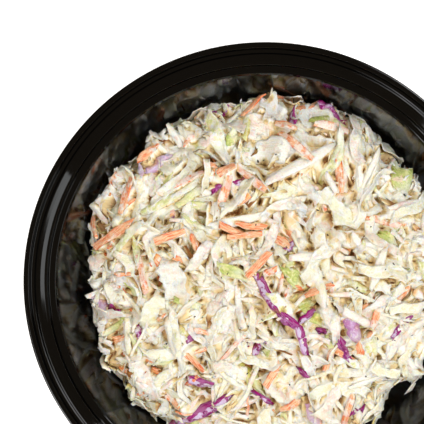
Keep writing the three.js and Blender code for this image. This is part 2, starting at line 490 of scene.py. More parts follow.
@dataclass(frozen=True)
class DressingCoat:
    """How the dressing lies on a piece. Depths are in millimetres."""

    smears: float = 420  # lumps a metre
    smear_detail: float = 4
    unlike: float = 0.25  # how much pieces differ
    begins: Span = (0.86, 0.5)  # the smear's level where the film begins, and what cream takes off it
    fills: Span = (0.98, 0.42)  # the same for where the film is full
    hides: Span = (0.55, 0.4)  # how much a full film hides, and what cream adds to it
    stains: float = 150
    stain_detail: float = 3
    stain_span: Span = (0.5, 0.62)
    stain_most: float = 0.9
    fibre_strength: float = 0.6
    lump_strength: float = 0.8
    beads: float = 2400
    bead_mm: float = 0.34
    bead_strength: float = 0.9
    pits: float = 1700
    pit_span: Span = (0.3, 0.5)
    pit_most: float = 0.4
    film_mm: float = 0.12
    film_strength: float = 0.6
    wet_span: Span = (0.0, 0.7)
    wetter: float = 0.1  # how much smoother a full film is

    def film_span(self, cream: float) -> Span:
        """Give the smear's levels between which the film forms, for a piece this creamy."""
        return self.begins[0] - self.begins[1] * cream, self.fills[0] - self.fills[1] * cream


@dataclass(frozen=True)
class ShredFinish:
    """A moist cut vegetable under a creamy dressing."""

    name: str
    tones: tuple[Colour, ...]  # the colours of single pieces, from tone 0 to 1
    tip: Colour  # what a piece turns to along its length
    tip_share: float
    edge: Colour  # the cut edges
    edge_share: float
    cream: float  # how much of the surface the dressing hides
    haze: float = 0.17  # how far its thinnest film whitens the rest
    dressing: Colour = linear(245, 245, 243)
    stain: Colour = linear(246, 206, 202)
    streak: Colour = linear(240, 234, 204)  # its fibres
    streak_share: float = 0.22
    roughness: float = 0.4
    fibre_mm: float = 0.16
    fibre_pitch: float = 1.5  # fibres a millimetre
    lump_mm: float = 0.45
    mottle: float = 0.2  # how much the tone strays within a piece
    flank: float = 0.0  # how much one side takes the edges' colour
    see_in: float = 0.6
    shine: float = 1.36  # how its wet skin bends light
    pits: Colour = (0.8, 0.76, 0.62)  # what the colour is multiplied by in fine darker tan flecks over a noise
    pattern: CutPattern = CutPattern()
    coat: DressingCoat = DressingCoat()

    def material(self) -> bpy.types.Material:
        """Make the material.

        Returns:
            The material.
        """
        shader = Shader(self.name)
        coat = self.coat
        tint = shader.node("Attribute", attribute_name="tint")
        grain_and_painted_shade = shader.node("Attribute", attribute_name="grain_and_painted_shade").outputs["Vector"]
        stretch = (self.pattern.fibre_run, self.fibre_pitch, 0.0)
        drawn_out = shader.node("Mapping", {"Vector": grain_and_painted_shade, "Scale": stretch}).outputs["Vector"]
        fibres = shader.noise(1.0, self.pattern.detail, drawn_out)
        specks = shader.noise(self.pattern.specks, self.pattern.detail)
        vegetable = self._vegetable(shader, tint.outputs["Color"], grain_and_painted_shade, fibres, specks)

        film = self._film(shader, tint.outputs["Alpha"])
        hidden = shader.math("MAXIMUM", film, self.haze)
        coated = shader.mix(hidden, vegetable, self._dressing(shader, tint.outputs["Alpha"]))
        pitted = shader.span(shader.noise(coat.pits), coat.pit_span, (coat.pit_most, 0.0))
        normal = shader.bump(fibres, self.fibre_mm, coat.fibre_strength)
        normal = shader.bump(specks, self.lump_mm, coat.lump_strength, normal)
        normal = shader.bump(shader.noise(coat.beads), coat.bead_mm, coat.bead_strength, normal)
        shader.set(
            # painted shade: the colour is dimmed and warmed deep between the shreds
            Base_Color=painted_crevice_shade(shader, shader.mix(pitted, coated, self.pits, "MULTIPLY")),
            Roughness=shader.span(film, coat.wet_span, (self.roughness, self.roughness - coat.wetter)),
            IOR=self.shine,
            Subsurface_Weight=self.see_in,
            Subsurface_Radius=SEE_IN.radius,
            Subsurface_Scale=SEE_IN.scale,
            Normal=shader.bump(film, coat.film_mm, coat.film_strength, normal),
        )
        return shader.material

    def _vegetable(
        self,
        shader: Shader,
        tint: Socket,
        grain_and_painted_shade: Socket,
        fibres: Socket,
        specks: Socket,
    ) -> Socket:
        """Colour the vegetable under its dressing.

        Args:
            shader: The finish's graph.
            tint: The piece's tone and the ways along and across it.
            grain_and_painted_shade: The way along the piece and across it, in millimetres.
            fibres: The fibres' noise.
            specks: The specks' noise.

        Returns:
            The colour.
        """
        pattern = self.pattern
        parts = shader.node("SeparateColor", {"Color": tint})
        tone, along, across = (parts.outputs[name] for name in ("Red", "Green", "Blue"))
        blotches = shader.noise(pattern.blotches, pattern.detail)
        speckle = pattern.speck_share * self.mottle
        broad = shader.span(blotches, pattern.usual, (-self.mottle, self.mottle))
        fine = shader.span(specks, pattern.usual, (-speckle, speckle))
        steps = max(1, len(self.tones) - 1)
        stops = [(i / steps, colour) for i, colour in enumerate(self.tones)]
        body = shader.ramp(shader.math("ADD", tone, shader.math("ADD", broad, fine)), stops)

        run = shader.math("MULTIPLY", along, pattern.tip_slope)
        toward_tip = shader.math("ADD", run, shader.math("MULTIPLY", blotches, pattern.tip_blotch))
        tip = shader.math("MULTIPLY", shader.span(toward_tip, pattern.tip_span), self.tip_share)
        body = shader.mix(tip, body, self.tip)
        cut = shader.math("MULTIPLY", shader.span(across, pattern.edge_span), self.edge_share)
        body = shader.mix(cut, body, self.edge)
        if self.flank:
            uneven = shader.math("MULTIPLY", blotches, pattern.flank_blotch)
            side = shader.math("ADD", shader.axis(grain_and_painted_shade, "Y"), uneven)
            flank = shader.math("MULTIPLY", shader.span(side, pattern.flank_span), self.flank)
            body = shader.mix(flank, body, self.edge)
        streaks = shader.math("MULTIPLY", shader.span(fibres, pattern.fibre_span), self.streak_share)
        return shader.mix(streaks, body, self.streak)

    def _film(self, shader: Shader, chance: Socket) -> Socket:
        """Say how thick the dressing lies.

        Args:
            shader: The finish's graph.
            chance: The piece's own chance.

        Returns:
            How much the dressing hides, 0 to 1.
        """
        coat = self.coat
        smear = shader.noise(coat.smears, coat.smear_detail)
        level = shader.math("ADD", smear, shader.math("MULTIPLY", chance, coat.unlike))
        most = coat.hides[0] + coat.hides[1] * self.cream
        return shader.math("MULTIPLY", shader.span(level, coat.film_span(self.cream)), most)

    def _dressing(self, shader: Shader, chance: Socket) -> Socket:
        """Colour the dressing, which some pieces stain.

        Args:
            shader: The finish's graph.
            chance: The piece's own chance.

        Returns:
            The colour.
        """
        coat = self.coat
        where = shader.span(shader.noise(coat.stains, coat.stain_detail), coat.stain_span)
        share = shader.span(chance, self.pattern.usual, (0.0, coat.stain_most))
        return shader.mix(shader.math("MULTIPLY", where, share), self.dressing, self.stain)


@dataclass(frozen=True)
class DressedBodyFinish:
    """The slaw deep between the shreds: dressing over packed cabbage."""

    name: str = "dressed_body"
    pale: Colour = linear(246, 245, 240)
    deep: Colour = linear(244, 238, 224)
    lumps: float = 320  # lumps a metre
    lump_detail: float = 6
    lump_span: Span = (0.35, 0.65)
    lump_mm: float = 1.2
    lump_strength: float = 0.9
    painted_shade_most: float = 0.9
    roughness: float = 0.45
    see_in: float = 0.6

    def material(self) -> bpy.types.Material:
        """Make the material.

        Returns:
            The material.
        """
        shader = Shader(self.name)
        lumps = shader.noise(self.lumps, self.lump_detail)
        colour = shader.mix(shader.span(lumps, self.lump_span), self.deep, self.pale)
        shader.set(
            # painted shade: the body is dimmed and warmed where it lies deep between the shreds
            Base_Color=painted_crevice_shade(shader, colour, self.painted_shade_most),
            Roughness=self.roughness,
            Subsurface_Weight=self.see_in,
            Subsurface_Radius=SEE_IN.radius,
            Subsurface_Scale=SEE_IN.scale,
            Normal=shader.bump(lumps, self.lump_mm, self.lump_strength),
        )
        return shader.material


@dataclass(frozen=True)
class PepperFinish:
    """Cracked pepper and herb specks."""

    name: str = "cracked_pepper"
    dark: Colour = linear(46, 38, 30)
    brown: Colour = linear(96, 74, 48)
    roughness: float = 0.5
    cracks: float = 2500  # lumps a metre
    crack_mm: float = 0.1
    crack_strength: float = 0.8

    def material(self) -> bpy.types.Material:
        """Make the material.

        Returns:
            The material.
        """
        shader = Shader(self.name)
        tint = shader.node("Attribute", attribute_name="tint").outputs["Color"]
        tone = shader.node("SeparateColor", {"Color": tint}).outputs["Red"]
        shader.set(
            Base_Color=shader.mix(tone, self.dark, self.brown),
            Roughness=self.roughness,
            Normal=shader.bump(shader.noise(self.cracks), self.crack_mm, self.crack_strength),
        )
        return shader.material


@dataclass(frozen=True)
class PaleFloorFinish:
    """A plain white table, lit to white."""

    name: str = "pale_floor"
    colour: Colour = (0.9, 0.9, 0.9)
    roughness: float = 0.7
    glow_colour: Colour = (1.0, 1.0, 1.0)
    glow: float = 0.75

    def material(self) -> bpy.types.Material:
        """Make the material.

        Returns:
            The material.
        """
        shader = Shader(self.name)
        shader.set(
            Base_Color=self.colour,
            Roughness=self.roughness,
            Emission_Color=self.glow_colour,
            Emission_Strength=self.glow,
        )
        return shader.material


# ---------------------------------------------------------------- the camera and the light


@dataclass(frozen=True)
class Viewpoint:
    """The camera, almost straight above the bowl."""

    frame_px: int = 424
    frame_width: float = 138.9  # what the frame spans in the rim's plane
    target: Triple = (-17.5, 24.5, 50.0)
    distance: float = 610.0
    tilt_deg: float = 7.0
    tilt_toward: tuple[float, float] = (0.365, 0.931)
    sensor: float = 36.0
    sees_m: Span = (0.01, 20)  # the nearest and the farthest that it sees

    def axes(self) -> tuple[Vector, Vector, Vector, Vector]:
        """Work out where the camera stands and how it is turned.

        Returns:
            Its place in millimetres, and its right, up and forward directions.
        """
        tilt = math.radians(self.tilt_deg)
        aside = Vector((*self.tilt_toward, 0)).normalized() * math.sin(tilt)
        place = Vector(self.target) + (aside + Vector((0, 0, math.cos(tilt)))) * self.distance
        forward = (Vector(self.target) - place).normalized()
        y_axis = Vector((0, 1, 0))
        up = (y_axis - y_axis.dot(forward) * forward).normalized()
        return place, forward.cross(up), up, forward

    def build(self) -> None:
        """Make the camera and give it to the scene."""
        place, right, up, forward = self.axes()
        data = bpy.data.cameras.new("camera")
        data.sensor_width = self.sensor
        data.sensor_fit = "HORIZONTAL"
        data.lens = self.sensor * self.distance / self.frame_width
        data.clip_start, data.clip_end = self.sees_m
        made = bpy.data.objects.new("camera", data)
        rows = Matrix((right, up, -forward)).transposed()
        made.matrix_world = Matrix.Translation(place * MM) @ rows.to_4x4()
        bpy.context.scene.collection.objects.link(made)
        bpy.context.scene.camera = made

    def ray(self, pixel: Pixel) -> tuple[Vector, Vector]:
        """Give the line of sight through a pixel.

        Args:
            pixel: The pixel, from the frame's top left.

        Returns:
            Where it starts and its direction, in millimetres.
        """
        place, right, up, forward = self.axes()
        scale = self.frame_width / self.distance / self.frame_px
        middle = self.frame_px / 2
        aside = (pixel[0] - middle) * scale
        above = (middle - pixel[1]) * scale
        return place, (forward + right * aside + up * above).normalized()


@dataclass(frozen=True)
class SoftLamp:
    """One soft box: where it stands, seen from the bowl, its size and its power."""

    name: str
    azimuth_deg: float
    elevation_deg: float
    width: float
    height: float
    watts: float
    colour: Colour
    distance: float = 1.1

    def build(self, target: Vector) -> None:
        """Make the lamp, turned to the target.

        Args:
            target: What it is turned to, in metres.
        """
        data = bpy.data.lights.new(self.name, "AREA")
        data.shape = "RECTANGLE"
        data.size = self.width
        data.size_y = self.height
        data.energy = self.watts
        data.color = self.colour
        made = bpy.data.objects.new(self.name, data)
        azimuth = math.radians(self.azimuth_deg)
        elevation = math.radians(self.elevation_deg)
        level = math.cos(elevation)
        toward = Vector((math.cos(azimuth) * level, math.sin(azimuth) * level, math.sin(elevation)))
        made.location = target + toward * self.distance
        made.rotation_euler = toward.to_track_quat("Z", "Y").to_euler()
        bpy.context.scene.collection.objects.link(made)


COOL_LIGHT = (0.945, 0.98, 1.0)
PLAIN_LIGHT = (0.965, 0.975, 0.98)


@dataclass
class Studio:
    """The white table and the soft boxes round it."""

    floor_half: float = 2000.0
    floor_drop: float = 0.2  # how far the table lies below the bowl's foot
    world: Colour = (0.312, 0.24, 0.154)
    lamps_aim: Triple = (0, 0, 0.05)  # in metres
    lamps: tuple[SoftLamp, ...] = (
        SoftLamp("main_back", 41, 54, width=0.26, height=0.7, watts=7.7, colour=COOL_LIGHT),
        SoftLamp("key_right", -23, 43, width=0.5, height=0.34, watts=3.0, colour=COOL_LIGHT),
        SoftLamp("fill_front", 225, 52, width=0.24, height=0.7, watts=7.4, colour=PLAIN_LIGHT),
    )

    def build(self) -> None:
        """Make the floor, the lamps and the dim surroundings."""
        half = self.floor_half
        corners = np.array([(-half, -half), (half, -half), (half, half), (-half, half)])
        points = np.column_stack([corners, np.full(len(corners), -self.floor_drop)])
        floor = new_object("floor", points, [[0, 1, 2, 3]], PaleFloorFinish().material())
        for lamp in self.lamps:
            lamp.build(Vector(self.lamps_aim))
        world = bpy.data.worlds.new("studio")
        world.use_nodes = True
        world.node_tree.nodes["Background"].inputs["Color"].default_value = (*self.world, 1)
        bpy.context.scene.world = world
        bpy.context.scene.view_settings.view_transform = "Standard"


# ---------------------------------------------------------------- the bowl


@dataclass
class Bowl:
    """The thermoformed bowl: one sheet turned about Z. Each place is a radius and a height."""

    sheet: float = 0.8
    flats: int = 200
    arc_steps: int = 4
    arc_reach: float = 0.45  # the most of a straight stretch that a rounding takes, as a share
    guard: float = 0.3  # from each rounding to the ring that keeps its flat side flat
    guard_reach: float = 0.04
    foot: Corners = ((42.6, 2.2), (44.0, 0.8), (49.0, 0.8))
    wall: Corners = ((51.3, 1.9), (52.2, 5.2), (69.2, 44.4))
    ledge: Corners = ((69.9, 45.5), (72.0, 45.5))
    bevel: Corners = ((72.55, 47.25), (73.3, 47.75), (74.5, 48.3), (75.8, 48.85))
    channel: Corners = ((76.5, 48.3), (77.6, 48.3))
    bead: Corners = ((78.2, 50.0), (80.0, 50.0), (80.0, 45.6))
    corner_radius: float = 0.55
    under_radius: float = 0.4

    def wall_radius(self, height: np.ndarray | float) -> np.ndarray | float:
        """Give the inner radius of the sloping wall at a height."""
        (low_r, low_z), (high_r, high_z) = self.wall[1:]
        return low_r + (np.minimum(height, high_z) - low_z) * (high_r - low_r) / (high_z - low_z)

    def corners(self) -> np.ndarray:
        """Give the upper face's corners, from the axis to the bottom of the skirt."""
        middle = (0.0, self.foot[0][1])
        return np.array([middle, *self.foot, *self.wall, *self.ledge, *self.bevel, *self.channel, *self.bead])

    def moved(self, corners: np.ndarray) -> np.ndarray:
        """Move the upper face's line across the sheet, to its lower face.

        Args:
            corners: The upper face's corners.

        Returns:
            The lower face's corners, in the same order.
        """
        steps = np.diff(corners, axis=0)
        right = np.column_stack([steps[:, 1], -steps[:, 0]]) / np.linalg.norm(steps, axis=1)[:, None]
        before = np.vstack([[0, -1], right])
        after = np.vstack([right, right[-1:]])
        middle = before + after
        middle /= np.linalg.norm(middle, axis=1)[:, None]
        return corners + middle * (self.sheet / np.sum(middle * before, axis=1))[:, None]

    def rounded(self, corners: np.ndarray, radius: float) -> np.ndarray:
        """Round each inner corner of a line.

        Args:
            corners: The line's corners.
            radius: The rounding's radius, less where the line is too short for it.

        Returns:
            The line's points.
        """
        rows = [corners[0]]
        for before, corner, after in zip(corners, corners[1:], corners[2:]):
            back, on = before - corner, after - corner
            back_length, on_length = np.linalg.norm(back), np.linalg.norm(on)
            back, on = back / back_length, on / on_length
            half = math.acos(float(np.clip(back @ on, -1, 1))) / 2
            reach = min(radius / math.tan(half), self.arc_reach * back_length, self.arc_reach * on_length)
            start, end = corner + back * reach, corner + on * reach
            rows.append(start + back * min(self.guard, self.guard_reach * back_length))
            for share in np.linspace(0, 1, self.arc_steps + 1):
                rows.append((1 - share) ** 2 * start + 2 * share * (1 - share) * corner + share**2 * end)
            rows.append(end + on * min(self.guard, self.guard_reach * on_length))
        rows.append(corners[-1])
        return np.array(rows)

    def build(self) -> bpy.types.Object:
        """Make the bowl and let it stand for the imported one.

        Returns:
            The bowl.
        """
        corners = self.corners()
        upper = self.rounded(corners, self.corner_radius)
        lower = self.rounded(self.moved(corners), self.under_radius)
        points, faces = lathe(np.concatenate([upper, lower[::-1]]), self.flats)
        outward = [face[::-1] for face in faces]
        made = new_object("round_bowl", points, outward, GlossyPlasticFinish().material())
        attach(made, "root")
        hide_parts("bowl")
        return made


# ---------------------------------------------------------------- the heap's form


@dataclass
class HeapForm:
    """The heap's outer form and the flat map of its skin.

    On the map, the distance from the middle is the way down the heap from its crown, and the
    angle is the angle round the bowl.
    """

    bowl: Bowl
    radius: float = 58.5
    shoulder: float = 35.0
    crown: float = 48.8
    fullness: float = 2.5
    steepness: float = 0.62
    bulges: tuple[Triple, ...] = (  # how far each stands out, how many go round, and where
        (0.85, 1, -0.49),
        (1.0, 5, 1.4),
        (0.5, 12, 1.9),
    )
    broad: float = 0.9
    broad_wave: Span = (8.3, 7.1)  # how long the lumps are, in x and in y
    fine: float = 0.5
    fine_wave: float = 5.7
    side_bottom: float = 22.0
    wall_gap: float = 1.0
    top: float = 53.8  # nothing stands higher
    knee: float = 50.6  # from here up, heights are pressed softly together
    half_piece: float = 0.5  # the room that a piece takes beside its middle surface
    cover: float = 6.1  # how deep the laid shreds are
    turn_spread: float = 4.5  # how softly the skin's normal turns at the shoulder
    step: float = 0.25  # between the rows of the tables of the way down
    dome_rows: int = 500
    dome_crowding: float = 0.8
    side_rows: int = 60
    middle_rows: int = 4  # the rows round the crown, where the map is flat
    least_squeeze: float = 0.3
    sight_rounds: int = 12  # to find where a line of sight meets the heap
    sight_pace: float = 0.6
    sight_lift: float = 1.0  # how far above the skin the pieces on top are seen
    sight_edge: float = 0.995

    def __post_init__(self) -> None:
        """Work out the tables of the skin's way down."""
        share = np.sin(np.linspace(0, math.pi / 2, self.dome_rows)) ** self.dome_crowding
        radius = self.radius * share
        height = self.shoulder + (self.crown - self.shoulder) * self.dome(share)
        side_z = np.linspace(self.shoulder, self.side_bottom, self.side_rows)[1:]
        side_r = np.minimum(self.radius, self.bowl.wall_radius(side_z) - self.wall_gap)
        radius, height = np.concatenate([radius, side_r]), np.concatenate([height, side_z])
        way = np.concatenate([[0], np.cumsum(np.hypot(np.diff(radius), np.diff(height)))])
        self.way = np.arange(0, way[-1], self.step)
        self.way_radius = np.interp(self.way, way, radius)
        self.way_height = np.interp(self.way, way, height)
        angle = np.arctan2(-np.gradient(self.way_height), np.gradient(self.way_radius))
        reach = int(3 * self.turn_spread / self.step)
        kernel = np.exp(-0.5 * (np.arange(-reach, reach + 1) * self.step / self.turn_spread) ** 2)
        padded = np.concatenate([-angle[1 : reach + 1][::-1], angle, np.full(reach, angle[-1])])
        self.way_angle = np.convolve(padded, kernel / kernel.sum(), "valid")
        self.way_spread = np.gradient(self.way_radius) / self.step
        self.end = float(self.way[-1])

    def dome(self, share: np.ndarray) -> np.ndarray:
        """Give the dome's rise, 1 at the crown and 0 at the shoulder."""
        return (1 - np.clip(share, 0, 1) ** self.fullness) ** self.steepness

    def swell(self, angle: np.ndarray) -> np.ndarray:
        """Give how far the heap stands out at an angle, as a share of its radius."""
        waves = (size * np.sin(number * angle + turn) for size, number, turn in self.bulges)
        return 1 + sum(waves) / self.radius

    def lumps(self, x: np.ndarray, y: np.ndarray) -> np.ndarray:
        """Give the spoon-sized rises and dips over a point."""
        broad = np.sin(x / self.broad_wave[0] + 1) * np.cos(y / self.broad_wave[1])
        return self.broad * broad + self.fine * np.sin((x - y) / self.fine_wave)

    def normal(self, spots: np.ndarray) -> np.ndarray:
        """Give the skin's outward directions.

        Args:
            spots: Rows of map coordinates.

        Returns:
            One direction a spot.
        """
        way = np.hypot(spots[..., 0], spots[..., 1])
        angle = np.arctan2(spots[..., 1], spots[..., 0])
        lean = np.interp(way, self.way, self.way_angle)
        return np.stack([np.sin(lean) * np.cos(angle), np.sin(lean) * np.sin(angle), np.cos(lean)], -1)

    def place(self, spots: np.ndarray, lift: np.ndarray) -> np.ndarray:
        """Turn spots of the map into places in the bowl.

        Args:
            spots: Rows of map coordinates.
            lift: How high each lies over the base of the laid shreds.

        Returns:
            The places, in millimetres.
        """
        way = np.hypot(spots[..., 0], spots[..., 1])
        angle = np.arctan2(spots[..., 1], spots[..., 0])
        radius = np.interp(way, self.way, self.way_radius)
        height = np.interp(way, self.way, self.way_height)
        dome = self.dome(radius / self.radius) * (way < self.way[-1])
        radius = radius * self.swell(angle)
        x, y = radius * np.cos(angle), radius * np.sin(angle)
        skin = np.stack([x, y, height + self.lumps(x, y) * dome], -1)
        places = skin + self.normal(spots) * (lift - self.cover)[..., None]
        room = self.top - self.half_piece - self.knee
        pressed = self.knee + room * np.tanh(np.maximum(places[..., 2] - self.knee, 0) / room)
        places[..., 2] = np.minimum(places[..., 2], pressed)
        return places

    def clear_of_wall(self, points: np.ndarray, gap: float) -> np.ndarray:
        """Move points in until they clear the bowl's wall.

        Args:
            points: The points, in millimetres.
            gap: How far they keep from the wall.

        Returns:
            The moved points.
        """
        radius = np.hypot(points[..., 0], points[..., 1])
        most = self.bowl.wall_radius(points[..., 2]) - gap
        points[..., :2] *= np.minimum(1, most / np.maximum(radius, 1))[..., None]
        return points

    def walk(
        self,
        spot: np.ndarray,
        heading: float,
        length: float,
        turn: float,
        stations: int,
    ) -> tuple[np.ndarray, np.ndarray]:
        """Walk a piece's length over the skin, through a spot.

        Args:
            spot: The piece's middle, on the map.
            heading: The direction at its middle, in radians.
            length: The piece's length.
            turn: How far it turns sideways over its length, in radians.
            stations: How many points it gets.

        Returns:
            The points on the map and, for each, the map's step for one millimetre to its left.
        """
        middle = (stations - 1) / 2
        step = length / (stations - 1)
        points, lefts = [None] * stations, [None] * stations
        onward = range(math.ceil(middle), stations)
        backward = range(math.floor(middle), -1, -1)
        for sign, order in ((1, onward), (-1, backward)):
            x, y = float(spot[0]), float(spot[1])
            course = heading
            gone = middle
            for i in order:
                stride = abs(i - gone) * step * sign
                x, y, course = self._step(x, y, course, stride, turn / length)
                gone = i
                points[i] = (x, y)
                lefts[i] = self._left(x, y, course)
        return np.array(points), np.array(lefts)

    def _step(self, x: float, y: float, course: float, stride: float, turn: float) -> Triple:
        """Take one step on the map.

        Args:
            x: Where it starts.
            y: Where it starts.
            course: The heading.
            stride: How far, less than 0 for backwards.
            turn: Sideways turn a millimetre.

        Returns:
            The new x, y and heading.
        """
        way = math.hypot(x, y)
        angle = math.atan2(y, x)
        squeeze, drift = self.metric(way)
        out = math.cos(course - angle) * stride
        aside = math.sin(course - angle) * stride / squeeze
        new_x = x + out * math.cos(angle) - aside * math.sin(angle)
        new_y = y + out * math.sin(angle) + aside * math.cos(angle)
        return new_x, new_y, course + (drift * math.sin(course - angle) + turn) * stride

    def _left(self, x: float, y: float, course: float) -> tuple[float, float]:
        """Find which way is left of a heading.

        Args:
            x: Where it is on the map.
            y: Where it is on the map.
            course: The heading.

        Returns:
            The map's step for one millimetre to the left.
        """
        angle = math.atan2(y, x)
        squeeze, _ = self.metric(math.hypot(x, y))
        out = -math.sin(course - angle)
        aside = math.cos(course - angle) / squeeze
        step_x = out * math.cos(angle) - aside * math.sin(angle)
        step_y = out * math.sin(angle) + aside * math.cos(angle)
        return step_x, step_y

    def metric(self, way: float) -> tuple[float, float]:
        """Say how the map differs from the skin.

        Args:
            way: The way down from the crown.

        Returns:
            How much the map is squeezed round the heap, and how a straight walk drifts there.
        """
        i = min(len(self.way) - 1, int(way / self.step))
        if i < self.middle_rows:
            return 1.0, 0.0
        radius = self.way_radius[i]
        return max(self.least_squeeze, radius / self.way[i]), (1 - self.way_spread[i]) / radius

    def spot_under(self, view: Viewpoint, pixel: Pixel) -> np.ndarray:
        """Find the spot of the map that a line of sight meets.

        Args:
            view: The camera.
            pixel: The pixel it passes through.

        Returns:
            The spot on the map.
        """
        start, toward = view.ray(pixel)
        height = self.crown
        for _ in range(self.sight_rounds):
            point = start + toward * ((height - start.z) / toward.z)
            angle = math.atan2(point.y, point.x)
            share = math.hypot(point.x, point.y) / (self.radius * float(self.swell(np.array(angle))))
            rise = float(self.dome(np.array(share)))
            lumps = float(self.lumps(point.x, point.y))
            goal = self.shoulder + (self.crown - self.shoulder) * rise + lumps * rise
            height += self.sight_pace * (goal + self.sight_lift - height)
        dome_end = int(np.argmax(self.way_radius))
        radius = min(share, self.sight_edge) * self.radius
        way = float(np.interp(radius, self.way_radius[: dome_end + 1], self.way[: dome_end + 1]))
        return np.array([way * math.cos(angle), way * math.sin(angle)])


class Relief:
    """How thick the slaw already lies over the skin's map, on a square grid."""

    def __init__(self, reach: float, cell: float = 0.4) -> None:
        """Start with nothing laid.

        Args:
            reach: How far the map reaches from its middle.
            cell: The grid's cell.
        """
        self.reach, self.cell = reach, cell
        self.side = int(2 * reach / cell) + 1
        self.thick = np.zeros((self.side, self.side))
        self.kept = np.zeros((self.side, self.side), bool)

    def cells(self, spots: np.ndarray) -> tuple[np.ndarray, np.ndarray]:
        """Give the grid's rows and columns at spots of the map."""
        found = np.clip(np.rint((spots + self.reach) / self.cell).astype(int), 0, self.side - 1)
        return found[..., 0], found[..., 1]

    def at(self, spots: np.ndarray) -> np.ndarray:
        """Give the thickness at spots of the map."""
        return self.thick[self.cells(spots)]

    def raise_to(self, spots: np.ndarray, thickness: np.ndarray) -> None:
        """Raise the grid to at least the thickness at each spot."""
        np.maximum.at(self.thick, self.cells(spots), thickness)

    def blurred(self, values: np.ndarray, spread: float) -> np.ndarray:
        """Blur values on the grid.

        Args:
            values: The values.
            spread: The blur's spread, in millimetres.

        Returns:
            The blurred values.
        """
        reach = int(3 * spread / self.cell)
        kernel = np.exp(-0.5 * (np.arange(-reach, reach + 1) * self.cell / spread) ** 2)
        kernel /= kernel.sum()
        rows = np.apply_along_axis(lambda row: np.convolve(row, kernel, "same"), 0, values)
        return np.apply_along_axis(lambda row: np.convolve(row, kernel, "same"), 1, rows)

    def clouds(self, random: np.random.Generator, spread: float) -> np.ndarray:
        """Draw clouds of this spread in millimetres on the grid, with a mean of 0 and a spread of 1."""
        values = self.blurred(random.normal(0, 1, self.thick.shape), spread)
        return values / values.std()


class Skin:
    """The finished heap's surface, and how far a place lies sunk under it, which sets the painted shade
    between the shreds.
    """

    BROAD = (0.35, 1.6)  # how far below the smoothed surface the painted shade begins, and how much deeper it is full
    NEAR = (0.25, 1.1)  # the same for the painted shade beside a piece

    def __init__(self, relief: Relief, broad: float = 1.5, near: float = 0.7) -> None:
        """Smooth the heap's relief.

        Args:
            relief: The relief when all is laid.
            broad: How far the heap's surface is smoothed.
            near: How far it is smoothed to find the crevices beside a piece.
        """
        self.relief = relief
        self.broad = relief.blurred(relief.thick, broad)
        self.near = relief.blurred(relief.thick, near)

    def sunk(self, spots: np.ndarray, lift: np.ndarray) -> np.ndarray:
        """Say how sunk places are, which is how much shade is painted on them: 0 on the heap's surface, 1
        deep between the shreds.

        Args:
            spots: Places on the map.
            lift: How high each stands.

        Returns:
            One share a place.
        """
        cells = self.relief.cells(spots)
        deep = (self.broad[cells] - lift - self.BROAD[0]) / self.BROAD[1]
        beside = (self.near[cells] - lift - self.NEAR[0]) / self.NEAR[1]
        return np.clip(np.maximum(deep, beside), 0, 1)


# ---------------------------------------------------------------- the shreds


class Cut(Enum):
    """How a kind of piece ends."""

    SLANTED = "slanted"
    TORN = "torn"


@dataclass(frozen=True)
class ShredKind:
    """One kind of cut piece: its sizes, how it bends and how it lies."""

    name: str
    finish: ShredFinish
    count: int
    length: Span
    width: Span
    thickness: Span
    stations: int
    columns: int
    cut: Cut
    turn: float = 0.5  # the most it turns sideways over its length, in radians
    sway: float = 0.2  # how far it winds sideways
    curl: float = 0.8  # how far its ends lift
    wave: float = 0.25  # how far it waves along its length
    ruffle: float = 0.0  # how far its edges wave
    crease: float = 0.0  # how sharply it folds along its length
    crinkle: float = 0.05  # how uneven its faces are
    cup: float = 0.18  # how far it arches across its width, as a share
    knots: int = 4  # the corners of each long edge
    ragged: float = 0.15  # how uneven its outline is
    end_width: Span = (0.3, 0.95)  # its width at the ends, as a share
    stiff: float = 0.25  # 0 lies like cloth, 1 like a stick
    droop: float = 0.5  # how far it sinks into the dips below it
    lean: float = 0.16  # how far it leans sideways, in radians
    on_edge: float = 0.12  # the share of the pieces that lie tilted
    edge_thin: float = 0.5  # how thick its long edges are, as a share
    sharp_deg: float | None = None  # the angle from which its edges stay sharp
    late: float = 0.0  # how much later than chance it is laid, as a share of the heap


@dataclass
class Lay:
    """How one piece is laid."""

    length: float
    width: float
    heading: float
    turn: float
    tone: float
    roll: float = 0.0
    curl: float = 0.0
    stiff: float = 0.0  # where this is more than its kind's stiffness
    keeps: bool = False  # later pieces leave it uncovered


